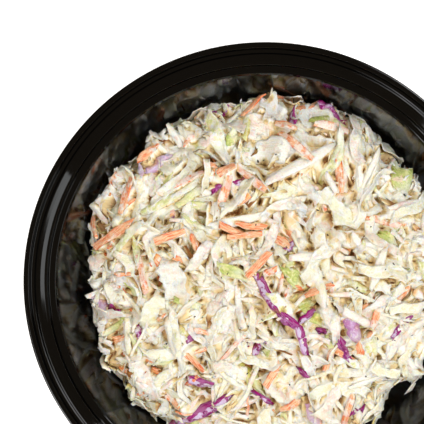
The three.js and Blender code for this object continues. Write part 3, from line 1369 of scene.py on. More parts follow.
@dataclass(frozen=True)
class LayRules:
    """How pieces of every kind come to lie. Lengths are in millimetres."""

    tilted_roll: Span = (0.6, 1.3)  # how far tilted pieces lean, in radians
    stiffened: float = 0.25  # the share of the pieces that are stiffer than their kind
    stiffened_to: Span = (0.4, 0.9)
    edge_margin: float = 2.0  # no piece's middle lies nearer to the end of the skin
    kept_share: float = 0.12  # how much of a piece may cross the ones that stay uncovered
    least_flat: float = 0.35  # the least of its width that a tilted piece covers
    half_thickness: float = 0.4  # from its middle surface to a face, as a share
    sway_length: Span = (9, 18)  # of one wave sideways
    kept_sway: float = 0.3  # how much of its sway a landmark keeps
    edge_reach: Span = (0.12, 1.5)  # how far an edge's corners may stand out
    nick: float = 0.35  # the depth of nicks, as a share of its raggedness
    nick_reach: Span = (0.6, 1.3)
    slant: float = 0.5  # of cut ends
    tear: float = 0.5  # of torn ends
    tear_share: float = 0.2  # the same for a narrow piece, as a share of its width
    least_span: float = 0.3  # the least width that a slope is taken over
    steepest: float = 0.9  # the steepest slope across a piece
    slope_follow: float = 0.75  # how far it takes on the slope under it
    deepest_droop: float = 3.0
    sinks_in: float = 0.15  # how far it sinks into what is under it
    roll_lift: float = 0.3
    twist: float = 0.1
    wave_length: Span = (5, 11)  # of one wave up and down
    ripple_pace: float = 1.7  # ripples a wave
    ripple_slant: float = 1.5
    ripple_edge: float = 1.4  # how closely the ripples keep to the edges
    fold_place: Span = (-0.3, 0.3)  # the fold's place across it
    widest_cup: float = 4.0
    limpness: float = 0.5  # how far a limp piece sinks between two stations
    settle_rounds: int = 10  # how often the dips under it are evened
    stiff_rest: float = 0.75  # how near a stiff piece comes to resting on points alone
    straightness: float = 0.85  # how straight a stiff piece stays over the heap's curve
    thin_edge_power: int = 4
    thin_end: float = 0.3
    thin_end_power: int = 8
    uneven: float = 0.12  # how uneven its thickness is
    uneven_reach: Span = (0.6, 1.4)
    fibre_offsets: Span = (0, 900)  # where its fibres begin in their noise
    press_step: float = 0.35  # how finely it is pressed into the relief


@dataclass
class Strip:
    """One piece while its mesh is made. Each grid has a row a station and a column a point across."""

    kind: ShredKind
    lay: Lay
    share: np.ndarray  # its stations, from -1 to 1
    across: np.ndarray  # its columns, from -1 to 1
    aside: np.ndarray  # how far each point lies to the side of its middle line
    thickness: float
    spots: np.ndarray  # its points on the map
    lift: np.ndarray  # how high each lies


@dataclass
class ShredHeap:
    """The heap of shreds, laid one on another."""

    form: HeapForm
    relief: Relief
    random: np.random.Generator
    rules: LayRules = LayRules()
    stores: dict[str, MeshStore] = field(default_factory=dict)

    def draw(self, low_high: Span) -> float:
        """Draw a number between two."""
        return float(self.random.uniform(*low_high))

    def chance_lay(self, kind: ShredKind) -> Lay:
        """Draw how a piece of a kind is laid.

        Args:
            kind: The kind of piece.

        Returns:
            The choices.
        """
        rules = self.rules
        tilted = self.random.random() < kind.on_edge
        roll = self.draw(rules.tilted_roll) if tilted else abs(float(self.random.normal(0, kind.lean)))
        return Lay(
            length=self.draw(kind.length),
            width=self.draw(kind.width),
            heading=self.draw((0, 2 * math.pi)),
            turn=self.draw((-kind.turn, kind.turn)),
            tone=self.random.random(),
            roll=roll * (1 if self.random.random() < 0.5 else -1),
            curl=kind.curl * self.random.random() ** 2,
            stiff=self.draw(rules.stiffened_to) if self.random.random() < rules.stiffened else 0.0,
        )

    def low_spot(self, tries: int = 4) -> np.ndarray:
        """Pick a spot of the map where the slaw lies thin.

        Args:
            tries: How many spots are compared.

        Returns:
            The spot.
        """
        best, least = None, math.inf
        last = self.form.end - self.rules.edge_margin
        while tries > 0:
            spot = self.random.uniform(-self.form.end, self.form.end, 2)
            way = math.hypot(*spot)
            if way > last or self.random.random() > self.form.metric(way)[0]:
                continue
            tries -= 1
            thickness = float(self.relief.at(spot))
            if thickness < least:
                best, least = spot, thickness
        return best

    def covers_kept(self, kind: ShredKind, spot: np.ndarray, lay: Lay) -> bool:
        """Say whether a piece would cover one that stays uncovered."""
        path, _ = self.form.walk(spot, lay.heading, lay.length, lay.turn, kind.stations)
        return bool(self.relief.kept[self.relief.cells(path)].mean() > self.rules.kept_share)

    def lay(self, kind: ShredKind, spot: np.ndarray, lay: Lay) -> None:
        """Lay one piece on what is there, and raise the relief by it.

        Args:
            kind: The kind of piece.
            spot: Its middle, on the map.
            lay: How it is laid.
        """
        path, left = self.form.walk(spot, lay.heading, lay.length, lay.turn, kind.stations)
        share = np.linspace(-1, 1, kind.stations)
        path = path + left * self._sway(kind, lay, share)[:, None]
        across = np.sin(np.linspace(-math.pi / 2, math.pi / 2, kind.columns))
        thickness = self.draw(kind.thickness)
        aside = self._outline(kind, share, across) * lay.width / 2
        ahead = self._ends(kind, share, across, lay.width)
        forward = np.gradient(path, axis=0) * (kind.stations - 1) / lay.length
        flat = max(self.rules.least_flat, abs(math.cos(lay.roll)))
        beside = path[:, None] + left[:, None] * (aside * flat)[..., None]
        spots = beside + forward[:, None] * ahead[..., None]
        half = thickness * self.rules.half_thickness
        lift = self._rest(kind, lay, self.relief.at(spots), aside * flat)
        lift += half + self._shape(kind, lay, share, across, aside)
        strip = Strip(kind, lay, share, across, aside, thickness, spots, lift)
        self._mesh(strip, self._placed(max(kind.stiff, lay.stiff), spots, lift))
        self._press(spots, lift + half, lay)

    def _sway(self, kind: ShredKind, lay: Lay, share: np.ndarray) -> np.ndarray:
        """Draw how far a piece winds to the side.

        Args:
            kind: The kind of piece.
            lay: How it is laid.
            share: Its stations, from -1 to 1.

        Returns:
            How far, at each station.
        """
        waves = lay.length / self.draw(self.rules.sway_length)
        held = self.rules.kept_sway if lay.keeps else 1.0
        return kind.sway * held * np.sin(waves * math.pi * share + self.draw(PHASES))

    def _outline(self, kind: ShredKind, share: np.ndarray, across: np.ndarray) -> np.ndarray:
        """Draw a piece's outline.

        Args:
            kind: The kind of piece.
            share: Its stations, from -1 to 1.
            across: Its columns, from -1 to 1.

        Returns:
            How far each of its points stands to the side, as a share of half its width.
        """
        knots = np.linspace(-1, 1, kind.knots)
        edges = []
        ends = self.draw(kind.end_width), self.draw(kind.end_width)
        for _ in range(2):
            corners = 1 + kind.ragged * self.random.normal(0, 1, kind.knots)
            corners[0] *= ends[0]
            corners[-1] *= ends[1]
            edges.append(np.interp(share, knots, np.clip(corners, *self.rules.edge_reach)))
        nicks = 1 + self.rules.nick * kind.ragged * self.random.normal(0, 1, (2, len(share)))
        first, second = edges * np.clip(nicks, *self.rules.nick_reach)
        return np.where(across < 0, across * first[:, None], across * second[:, None])

    def _ends(self, kind: ShredKind, share: np.ndarray, across: np.ndarray, width: float) -> np.ndarray:
        """Draw a piece's end faces as they are cut or torn.

        Args:
            kind: The kind of piece.
            share: Its stations, from -1 to 1.
            across: Its columns, from -1 to 1.
            width: Its width.

        Returns:
            How far each of its points stands ahead.
        """
        ahead = np.zeros((len(share), len(across)))
        for row, sign in ((0, -1), (-1, 1)):
            ahead[row] = self.random.normal(0, self.rules.slant) * across * width / 2
            if kind.cut is Cut.TORN:
                tear = min(self.rules.tear, self.rules.tear_share * width)
                ahead[row] += sign * np.abs(self.random.normal(0, tear, len(across)))
        return ahead

    def _rest(self, kind: ShredKind, lay: Lay, under: np.ndarray, aside: np.ndarray) -> np.ndarray:
        """Rest a piece on what is under it.

        Args:
            kind: The kind of piece.
            lay: How it is laid.
            under: How high the slaw stands under each of its points.
            aside: How far each point lies to the side.

        Returns:
            How high each point rests.
        """
        rules = self.rules
        span = np.maximum(aside[:, -1] - aside[:, 0], rules.least_span)
        slope = np.clip((under[:, -1] - under[:, 0]) / span, -rules.steepest, rules.steepest)
        slope = self._evened(slope * rules.slope_follow)[:, None]
        plane = np.max(under - slope * aside, axis=1)
        plane = self._settled(plane, max(kind.stiff, lay.stiff))[:, None] + slope * aside
        soft = (under + np.roll(under, 1, 0) + np.roll(under, -1, 0)) / 3
        soft[[0, -1]] = under[[0, -1]]
        sunk = plane - kind.droop * np.clip(plane - soft, 0, rules.deepest_droop)
        raised = abs(math.sin(lay.roll)) * lay.width * rules.roll_lift
        return np.maximum(sunk, under - rules.sinks_in) + raised

    def _shape(
        self,
        kind: ShredKind,
        lay: Lay,
        share: np.ndarray,
        across: np.ndarray,
        aside: np.ndarray,
    ) -> np.ndarray:
        """Draw a piece's own bends: its roll, curl, waves and ruffles.

        Args:
            kind: The kind of piece.
            lay: How it is laid.
            share: Its stations, from -1 to 1.
            across: Its columns, from -1 to 1.
            aside: How far each of its points lies to the side.

        Returns:
            How far each point lifts.
        """
        rules = self.rules
        twist = lay.roll + self.random.normal(0, rules.twist) * share * 2
        phase, waves = self.draw(PHASES), lay.length / self.draw(rules.wave_length)
        bend = kind.wave * np.sin(waves * math.pi * share + phase)
        pace = rules.ripple_pace * waves * math.pi
        ripples = np.sin(pace * share[:, None] + phase + rules.ripple_slant * across)
        fold = self.random.normal(0, kind.crease) * np.abs(aside - self.draw(rules.fold_place) * lay.width)
        lift = aside * np.sin(twist)[:, None] + bend[:, None] + fold
        lift = lift + kind.ruffle * ripples * np.abs(across) ** rules.ripple_edge
        lift = lift - self.random.normal(0, kind.cup) * min(lay.width, rules.widest_cup) * across**2
        lift = lift + self.random.normal(0, kind.crinkle, aside.shape)
        return lift + (lay.curl * np.clip(share, 0, 1) ** 2)[:, None]

    @staticmethod
    def _evened(values: np.ndarray) -> np.ndarray:
        """Even out numbers along a piece."""
        padded = np.concatenate([values[:1], values, values[-1:]])
        return (padded[:-2] + 2 * padded[1:-1] + padded[2:]) / 4

    def _settled(self, lift: np.ndarray, stiff: float) -> np.ndarray:
        """Bridge the dips under a piece, as far as it is stiff.

        Args:
            lift: What is under each station.
            stiff: The piece's stiffness.

        Returns:
            The heights that it lies at.
        """
        droop = self.rules.limpness * (1 - stiff) ** 2
        for _ in range(self.rules.settle_rounds):
            lift[1:-1] = np.maximum(lift[1:-1], (lift[:-2] + lift[2:]) / 2 - droop)
        places = np.arange(len(lift))
        line = np.polyval(np.polyfit(places, lift, 1), places)
        line = line + self.rules.stiff_rest * np.max(lift - line)
        return lift + (line - lift) * stiff**2

    def _placed(self, stiff: float, spots: np.ndarray, lift: np.ndarray) -> np.ndarray:
        """Place a piece's middle surface in the bowl, under the heap's top and clear of the wall.

        Args:
            stiff: Its stiffness.
            spots: Its points on the map.
            lift: How high each lies.

        Returns:
            The places, in millimetres.
        """
        form = self.form
        points = form.place(spots, lift)
        centre = points.mean(axis=1)
        middle = len(centre) // 2
        along = centre[middle + 1] - centre[middle - 1]
        along /= np.linalg.norm(along)
        way = np.concatenate([[0], np.cumsum(np.linalg.norm(np.diff(centre, axis=0), axis=1))])
        line = centre[middle] + along * (way - way[middle])[:, None]
        points = points + ((line - centre) * (self.rules.straightness * stiff))[:, None]
        points[..., 2] -= max(0.0, float(points[..., 2].max()) + form.half_piece - form.top)
        return form.clear_of_wall(points, form.wall_gap + form.half_piece)

    def _mesh(self, strip: Strip, middle: np.ndarray) -> None:
        """Make one piece's closed mesh round its middle surface.

        Args:
            strip: The piece.
            middle: The points of its middle surface, in millimetres.
        """
        rules, share, across = self.rules, strip.share, strip.across
        outward = np.cross(np.gradient(middle, axis=0), np.gradient(middle, axis=1))
        outward /= np.maximum(np.linalg.norm(outward, axis=2), 1e-9)[..., None]
        rim = 1 - (1 - strip.kind.edge_thin) * np.abs(across) ** rules.thin_edge_power
        ends = 1 - rules.thin_end * np.abs(share) ** rules.thin_end_power
        bulk = strip.thickness / 2 * ends[:, None] * rim
        bulk = bulk * (1 + rules.uneven * self.random.normal(0, 1, bulk.shape)).clip(*rules.uneven_reach)
        raised = outward * bulk[..., None]
        loop = self._looped(middle + raised, middle - raised)

        offset = self.draw(rules.fibre_offsets)
        stations = np.broadcast_to(share[:, None], strip.aside.shape)
        columns = np.broadcast_to(np.abs(across), strip.aside.shape)
        tints = np.empty((*loop.shape[:2], 4))
        tints[..., 0] = strip.lay.tone
        tints[..., 1] = self._looped(stations, stations) / 2 + 0.5
        tints[..., 2] = self._looped(columns, columns)
        tints[..., 3] = self.random.random()
        grains = np.empty(loop.shape)
        grains[..., 0] = self._looped(stations, stations) * strip.lay.length / 2 + offset
        grains[..., 1] = self._looped(strip.aside, strip.aside)
        grains[..., 2] = self._looped(strip.lift + bulk, strip.lift - bulk)
        store = self.stores.setdefault(strip.kind.name, MeshStore())
        faces = self._faces(len(share), len(across))
        map_spots = self._looped(strip.spots, strip.spots).reshape(-1, 2)
        store.add(loop.reshape(-1, 3), faces, tints.reshape(-1, 4), grains.reshape(-1, 3), map_spots)

    @staticmethod
    def _looped(upper: np.ndarray, lower: np.ndarray) -> np.ndarray:
        """Join each station's upper columns and lower columns into one loop."""
        return np.concatenate([upper, lower[:, ::-1]], axis=1)

    @staticmethod
    def _faces(stations: int, columns: int) -> np.ndarray:
        """Give the quads of a closed strip.

        Args:
            stations: Sections along it.
            columns: Points across one of its faces.

        Returns:
            Rows of four vertex numbers.
        """
        ring = 2 * columns
        i, j = np.meshgrid(np.arange(stations - 1), np.arange(ring), indexing="ij")
        k = (j + 1) % ring
        here, ahead = i * ring, (i + 1) * ring
        tube = np.stack([here + j, here + k, ahead + k, ahead + j], -1).reshape(-1, 4)
        across = np.arange(columns - 1)
        last = (stations - 1) * ring
        near = np.stack([across, ring - 1 - across, ring - 2 - across, across + 1], -1)
        far = np.stack([across + 1, ring - 2 - across, ring - 1 - across, across], -1) + last
        return np.concatenate([tube, near, far])[:, ::-1]

    def _press(self, spots: np.ndarray, lift: np.ndarray, lay: Lay) -> None:
        """Raise the relief under a piece.

        Args:
            spots: Its points on the map.
            lift: The height of its upper face at each.
            lay: How it is laid.
        """
        down = max(2, int(lay.length / self.rules.press_step))
        over = max(2, int(lay.width / self.rules.press_step))
        rows = self._finer(np.concatenate([spots, lift[..., None]], axis=2), down)
        fine = self._finer(rows.transpose(1, 0, 2), over)
        self.relief.raise_to(fine[..., :2], fine[..., 2])
        if lay.keeps:
            self.relief.kept[self.relief.cells(fine[..., :2])] = True

    @staticmethod
    def _finer(rows: np.ndarray, count: int) -> np.ndarray:
        """Read rows of points at evenly spaced places between them.

        Args:
            rows: The rows, along the first axis.
            count: How many rows to give.

        Returns:
            The rows at the finer places.
        """
        places = np.linspace(0, len(rows) - 1, count)
        low = np.minimum(places.astype(int), len(rows) - 2)
        part = (places - low)[:, None, None]
        return rows[low] * (1 - part) + rows[low + 1] * part


# ---------------------------------------------------------------- the slaw

IVORY = linear(245, 245, 242)
CREAM = linear(244, 237, 220)
BLUSH = linear(246, 208, 196)
STRAW = linear(240, 225, 176)
CELERY = linear(238, 234, 194)
PALE_GREEN = linear(232, 230, 168)
LIME = linear(204, 212, 124)
LEAF = linear(164, 182, 72)
CARROT_BRIGHT = linear(236, 122, 56)
CARROT_DEEP = linear(232, 104, 40)
CARROT_PALE = linear(246, 172, 118)
CARROT_FIBRE = linear(250, 214, 176)
PURPLE = linear(156, 0, 116)
PLUM = linear(96, 2, 74)
LILAC = linear(216, 200, 230)
MAUVE = linear(186, 116, 186)

CABBAGE = ShredFinish(
    "pale_cabbage", (IVORY, BLUSH, IVORY, CELERY, IVORY, STRAW, IVORY, CREAM),
    tip=CELERY, tip_share=0.4, edge=IVORY, edge_share=0.4, cream=0.42,
)
LEAF_SKIN = ShredFinish(
    "cabbage_leaf", (IVORY, BLUSH, IVORY, CELERY, IVORY),
    tip=CREAM, tip_share=0.4, edge=IVORY, edge_share=0.4, cream=0.36,
    streak=CELERY, streak_share=0.35, fibre_mm=0.3,
)
RIB = ShredFinish(
    "cabbage_rib", (IVORY, IVORY, CREAM),
    tip=CREAM, tip_share=0.4, edge=IVORY, edge_share=0.3, cream=0.5, see_in=0.75,
)
YOUNG_LEAF = ShredFinish(
    "young_leaf", (IVORY, PALE_GREEN, LIME, PALE_GREEN, IVORY),
    tip=IVORY, tip_share=0.8, edge=PALE_GREEN, edge_share=0.3, cream=0.36,
    haze=0.1, streak=IVORY, streak_share=0.35, mottle=0.4,
)
GREEN_LEAF = ShredFinish(
    "green_leaf", (PALE_GREEN, LIME, LEAF, LIME, CELERY),
    tip=IVORY, tip_share=0.6, edge=LEAF, edge_share=0.3, cream=0.26,
    haze=0.05, streak=PALE_GREEN, streak_share=0.35, mottle=0.4,
)
CARROT = ShredFinish(
    "carrot", (CARROT_BRIGHT, CARROT_PALE, CARROT_DEEP, CARROT_BRIGHT),
    tip=CARROT_PALE, tip_share=0.4, edge=CARROT_DEEP, edge_share=0.5, cream=0.47,
    haze=0.07, streak=CARROT_FIBRE, streak_share=0.8, fibre_pitch=2.2, mottle=0.5, shine=1.3,
)
RED_CABBAGE = ShredFinish(
    "red_cabbage", (LILAC, PURPLE, PLUM, PURPLE, MAUVE),
    tip=MAUVE, tip_share=0.2, edge=PURPLE, edge_share=0.6, cream=0.24,
    haze=0.0, streak=LILAC, fibre_pitch=1.8, flank=1.0, mottle=0.5, see_in=0.25, shine=1.2,
)
LILAC_CABBAGE = ShredFinish(
    "lilac_cabbage", (LILAC, LILAC, MAUVE),
    tip=IVORY, tip_share=0.5, edge=PURPLE, edge_share=0.4, cream=0.35,
    haze=0.1, streak=MAUVE, streak_share=0.4, mottle=0.4,
)
NARROW = ShredKind(
    "narrow_shreds", CABBAGE, count=840, length=(7, 24), width=(0.8, 2.0), thickness=(0.45, 0.8),
    stations=12, columns=4, cut=Cut.SLANTED,
    turn=2.0, sway=0.6, cup=0.1, ragged=0.14, end_width=(0.5, 1.0),
)
RIBBON = ShredKind(
    "cabbage_ribbons", CABBAGE, count=560, length=(9, 24), width=(1.7, 4.0), thickness=(0.3, 0.6),
    stations=14, columns=5, cut=Cut.SLANTED,
    turn=2.8, sway=0.8, ruffle=0.4, crease=0.14, cup=0.12, knots=5, ragged=0.2, end_width=(0.45, 1.0),
    droop=0.4, edge_thin=0.4, late=0.12,
)
FLAKE = ShredKind(
    "cabbage_flakes", LEAF_SKIN, count=270, length=(8, 16), width=(3.2, 6.2), thickness=(0.3, 0.6),
    stations=14, columns=6, cut=Cut.TORN,
    turn=0.9, sway=0.4, curl=1.6, ruffle=0.6, crease=0.25, crinkle=0.1, knots=7, ragged=0.24,
    end_width=(0.25, 0.9), droop=0.4, on_edge=0.08, edge_thin=0.35, late=0.06,
)
RIB_STICK = ShredKind(
    "rib_sticks", RIB, count=80, length=(6, 16), width=(1.6, 3.2), thickness=(1.0, 1.8),
    stations=8, columns=4, cut=Cut.SLANTED,
    turn=0.25, curl=0.3, wave=0.15, cup=0.08, ragged=0.12, stiff=0.75, droop=0.0, edge_thin=0.6, late=0.12,
)
YOUNG_RIBBON = ShredKind(
    "young_ribbons", YOUNG_LEAF, count=225, length=(7, 22), width=(1.2, 3.2), thickness=(0.4, 0.8),
    stations=11, columns=4, cut=Cut.SLANTED,
    turn=1.5, sway=0.5, ruffle=0.4, crease=0.14, cup=0.12, knots=6, ragged=0.17, end_width=(0.5, 1.0),
    droop=0.4,
)
YOUNG_FLAKE = ShredKind(
    "young_flakes", YOUNG_LEAF, count=80, length=(6, 12), width=(3, 5.5), thickness=(0.4, 0.7),
    stations=13, columns=6, cut=Cut.TORN,
    turn=0.4, curl=1.4, ruffle=0.4, crease=0.2, crinkle=0.09, knots=6, ragged=0.24, end_width=(0.15, 0.9),
    droop=0.4, on_edge=0.08, late=0.06,
)
LEAF_SCRAP = ShredKind(
    "leaf_scraps", GREEN_LEAF, count=150, length=(4, 11), width=(1.6, 4.5), thickness=(0.4, 0.7),
    stations=9, columns=5, cut=Cut.TORN,
    curl=1.2, ruffle=0.4, crease=0.2, crinkle=0.08, ragged=0.22, end_width=(0.15, 0.8),
)
CARROT_STICK = ShredKind(
    "carrot_sticks", CARROT, count=130, length=(4, 15), width=(1.2, 2.5), thickness=(0.8, 1.3),
    stations=9, columns=4, cut=Cut.SLANTED,
    turn=0.4, curl=0.5, wave=0.2, cup=0.05, knots=5, ragged=0.12, end_width=(0.5, 1.0), stiff=0.6,
    droop=0.1, on_edge=0.2, edge_thin=0.7, sharp_deg=50,
)
PURPLE_SHRED = ShredKind(
    "purple_shreds", RED_CABBAGE, count=54, length=(3, 11), width=(1.0, 2.2), thickness=(0.5, 0.9),
    stations=9, columns=4, cut=Cut.TORN,
    turn=0.7, ruffle=0.3, knots=5, ragged=0.2, end_width=(0.3, 0.9),
)
LILAC_SCRAP = ShredKind(
    "lilac_scraps", LILAC_CABBAGE, count=10, length=(5, 10), width=(3, 6), thickness=(0.5, 0.9),
    stations=10, columns=5, cut=Cut.TORN,
    ruffle=0.4, ragged=0.2,
)
CHIP = ShredKind(
    "cabbage_chips", CABBAGE, count=800, length=(1.2, 4.5), width=(0.9, 2.6), thickness=(0.4, 0.9),
    stations=5, columns=4, cut=Cut.TORN,
    curl=0.3, wave=0.0, ragged=0.25,
)
CARROT_CHIP = ShredKind(
    "carrot_chips", CARROT, count=120, length=(1.2, 3.5), width=(0.8, 1.8), thickness=(0.5, 1.0),
    stations=4, columns=4, cut=Cut.TORN,
    curl=0.1, wave=0.0, stiff=0.5, sharp_deg=50,
)
PEPPER_SPECK = ShredKind(
    "pepper_specks", PepperFinish(), count=90, length=(0.3, 0.6), width=(0.25, 0.5), thickness=(0.2, 0.4),
    stations=3, columns=3, cut=Cut.TORN,
    turn=0.0, curl=0.0, wave=0.0, knots=3, end_width=(0.5, 0.9), on_edge=0.0, sharp_deg=30,
)

KINDS = (
    NARROW, RIBBON, FLAKE, RIB_STICK, YOUNG_RIBBON, YOUNG_FLAKE, LEAF_SCRAP, CARROT_STICK,
    PURPLE_SHRED, LILAC_SCRAP, CHIP, CARROT_CHIP,
)


@dataclass(frozen=True)
class Landmark:
    """A piece that lies on top at a known place: its two ends in the camera's frame."""

    kind: ShredKind
    start: Pixel
    end: Pixel
    width: float
    tone: float = 0.0
    turn: float = 0.0
    roll: float = 0.0
    curl: float = 0.0
    stiff: float = 0.0


LANDMARKS = (  # each with its kind, its two ends, its width, its tone, its turn and its roll
    Landmark(YOUNG_FLAKE, (205, 116), (228, 160), 5.5, 0.25),
    Landmark(YOUNG_RIBBON, (185, 150), (212, 140), 3.6, 0.25),
    Landmark(YOUNG_RIBBON, (142, 214), (204, 178), 2.6, 0.2),
    Landmark(YOUNG_RIBBON, (176, 206), (206, 184), 2.8, 0.5),
    Landmark(RIBBON, (150, 204), (198, 158), 3.0, 0.4),
    Landmark(FLAKE, (234, 121), (280, 136), 7.5, 0.4, curl=0.6),
    Landmark(FLAKE, (236, 150), (288, 158), 9.0, 0.0, curl=0.8),
    Landmark(FLAKE, (266, 97), (280, 121), 6.5, 0.0),
    Landmark(FLAKE, (293, 112), (334, 120), 7.5, 0.0),
    Landmark(RIBBON, (262, 216), (302, 196), 3.4, 0.0, -1.2),
    Landmark(RIBBON, (292, 198), (316, 232), 3.4, 0.0, -0.8),
    Landmark(FLAKE, (324, 212), (337, 248), 7.0, 0.4),
    Landmark(RIB_STICK, (208, 228), (262, 213), 3.0, 0.0),
    Landmark(RIBBON, (214, 248), (206, 284), 3.0, 0.0, 0.6),
    Landmark(NARROW, (236, 286), (244, 330), 2.4, 0.0, 0.3),
    Landmark(FLAKE, (170, 262), (180, 302), 8.0, 0.0),
    Landmark(FLAKE, (282, 346), (320, 366), 6.5, 0.0),
    Landmark(RIBBON, (360, 319), (405, 284), 4.2, 0.0),
    Landmark(FLAKE, (378, 398), (400, 374), 7.0, 0.0),
    Landmark(RIBBON, (300, 352), (322, 396), 3.2, 0.0, 0.3),
    Landmark(RIB_STICK, (263, 186), (334, 146), 3.6, 0.0, 0.3),
    Landmark(FLAKE, (84, 268), (106, 252), 6.0, 0.3, 0.4, curl=1.2),
    Landmark(NARROW, (180, 146), (167, 121), 2.0, 0.0, 0.3, curl=1.5, stiff=1.0),
    Landmark(NARROW, (114, 198), (101, 180), 2.0, 0.0, -0.3, stiff=0.8),
    Landmark(FLAKE, (162, 146), (131, 154), 6.0, 0.0, stiff=0.5),
    Landmark(RIBBON, (150, 142), (164, 133), 3.6, 0.2, 0.8),
    Landmark(NARROW, (130, 383), (110, 374), 2.2, 0.0, stiff=1.0),
    Landmark(NARROW, (108, 332), (97, 322), 2.2, 0.0, 0.2, stiff=0.9),
    Landmark(NARROW, (112, 346), (98, 339), 2.6, 0.2, stiff=0.9),
    Landmark(NARROW, (198, 122), (190, 112), 1.8, 0.2, stiff=0.8),
    Landmark(RIBBON, (380, 162), (398, 153), 3.0, 0.0, stiff=0.8),
    Landmark(NARROW, (374, 142), (364, 127), 2.0, 0.0, stiff=0.9),
    Landmark(NARROW, (386, 150), (380, 131), 1.8, 0.2, stiff=0.9),
    Landmark(NARROW, (398, 184), (415, 176), 2.0, 0.0, stiff=0.9),
    Landmark(RIBBON, (100, 222), (92, 200), 3.0, 0.2, 0.4, stiff=0.4),
    Landmark(LEAF_SCRAP, (390, 170), (406, 196), 5.5, 0.5),
    Landmark(LEAF_SCRAP, (283, 269), (306, 291), 5.0, 0.5),
    Landmark(LEAF_SCRAP, (218, 264), (247, 279), 3.6, 0.2),
    Landmark(LEAF_SCRAP, (237, 362), (263, 393), 4.6, 0.4, 0.2),
    Landmark(LEAF_SCRAP, (381, 234), (397, 243), 3.2, 0.3),
    Landmark(LEAF_SCRAP, (127, 282), (142, 295), 3.4, 0.4),
    Landmark(LEAF_SCRAP, (177, 298), (199, 307), 2.8, 0.3),
    Landmark(LEAF_SCRAP, (313, 121), (348, 127), 2.4, 0.3),
    Landmark(PURPLE_SHRED, (320, 105), (329, 111), 2.8, 0.0),
    Landmark(PURPLE_SHRED, (330, 115), (350, 122), 3.6, 0.3, 0.3),
    Landmark(PURPLE_SHRED, (254, 272), (279, 311), 3.0, 0.0, -0.3),
    Landmark(PURPLE_SHRED, (276, 308), (299, 327), 3.0, 0.5, 0.2),
    Landmark(PURPLE_SHRED, (297, 325), (305, 352), 3.0, 0.0, 0.3),
    Landmark(PURPLE_SHRED, (300, 321), (313, 311), 2.2, 0.0),
    Landmark(PURPLE_SHRED, (300, 369), (307, 376), 2.0, 0.0),
    Landmark(PURPLE_SHRED, (317, 331), (330, 334), 1.9, 0.5),
    Landmark(LILAC_SCRAP, (346, 318), (360, 340), 4.6, 1.0),
    Landmark(PURPLE_SHRED, (337, 337), (350, 362), 3.0, 0.5),
    Landmark(PURPLE_SHRED, (253, 354), (262, 343), 2.2, 0.0),
    Landmark(PURPLE_SHRED, (286, 250), (293, 244), 2.0, 0.0),
    Landmark(PURPLE_SHRED, (236, 184), (248, 179), 2.2, 0.0),
    Landmark(PURPLE_SHRED, (212, 191), (220, 186), 2.0, 0.5),
    Landmark(PURPLE_SHRED, (111, 304), (119, 315), 2.5, 0.5),
    Landmark(PURPLE_SHRED, (138, 327), (140, 339), 1.9, 0.0),
    Landmark(PURPLE_SHRED, (188, 342), (193, 336), 1.9, 0.5),
    Landmark(PURPLE_SHRED, (189, 377), (212, 384), 3.5, 0.0),
    Landmark(PURPLE_SHRED, (181, 421), (228, 398), 3.6, 0.2, 0.4),
    Landmark(LILAC_SCRAP, (144, 172), (168, 156), 4.0, 0.5),
    Landmark(LILAC_SCRAP, (132, 183), (143, 171), 3.2, 0.5),
    Landmark(CARROT_STICK, (95, 247), (135, 223), 2.2, 0.4, 0.1),
    Landmark(CARROT_STICK, (242, 116), (262, 98), 2.0, 0.3),
    Landmark(CARROT_STICK, (275, 126), (294, 132), 2.1, 0.2),
    Landmark(CARROT_STICK, (280, 135), (312, 162), 2.4, 0.1, 0.1),
    Landmark(CARROT_STICK, (313, 129), (350, 134), 1.9, 0.4),
    Landmark(CARROT_STICK, (337, 155), (341, 193), 2.4, 0.1),
    Landmark(CARROT_STICK, (350, 145), (359, 148), 1.8, 0.5),
    Landmark(CARROT_STICK, (220, 176), (234, 166), 2.2, 0.0),
    Landmark(CARROT_STICK, (240, 170), (266, 191), 2.1, 0.3),
    Landmark(CARROT_STICK, (220, 211), (230, 177), 2.4, 0.1),
    Landmark(CARROT_STICK, (220, 225), (245, 237), 2.2, 0.2),
    Landmark(CARROT_STICK, (236, 222), (266, 227), 2.1, 0.0),
    Landmark(CARROT_STICK, (228, 238), (262, 232), 1.8, 0.4),
    Landmark(CARROT_STICK, (275, 238), (288, 247), 2.4, 0.0),
    Landmark(CARROT_STICK, (246, 277), (270, 251), 2.3, 0.2),
    Landmark(CARROT_STICK, (362, 217), (400, 226), 2.2, 0.4),
    Landmark(CARROT_STICK, (372, 327), (379, 309), 2.2, 0.0),
    Landmark(CARROT_STICK, (265, 384), (279, 362), 2.3, 0.3),
    Landmark(CARROT_STICK, (281, 405), (300, 400), 2.1, 0.3),
    Landmark(CARROT_STICK, (335, 418), (352, 393), 2.2, 0.2),
    Landmark(CARROT_STICK, (143, 165), (162, 148), 1.8, 0.3),
    Landmark(CARROT_STICK, (157, 242), (185, 231), 2.0, 0.5),
    Landmark(CARROT_STICK, (192, 234), (198, 252), 2.2, 0.0),
    Landmark(CARROT_STICK, (120, 340), (132, 332), 1.8, 0.2),
    Landmark(CARROT_STICK, (150, 371), (161, 375), 2.1, 0.2),
    Landmark(CARROT_STICK, (162, 395), (181, 404), 2.2, 0.1),
    Landmark(CARROT_STICK, (136, 255), (150, 293), 2.3, 0.3, -0.3),
    Landmark(LEAF_SCRAP, (131, 236), (137, 262), 2.6, 0.1, -0.2),
)


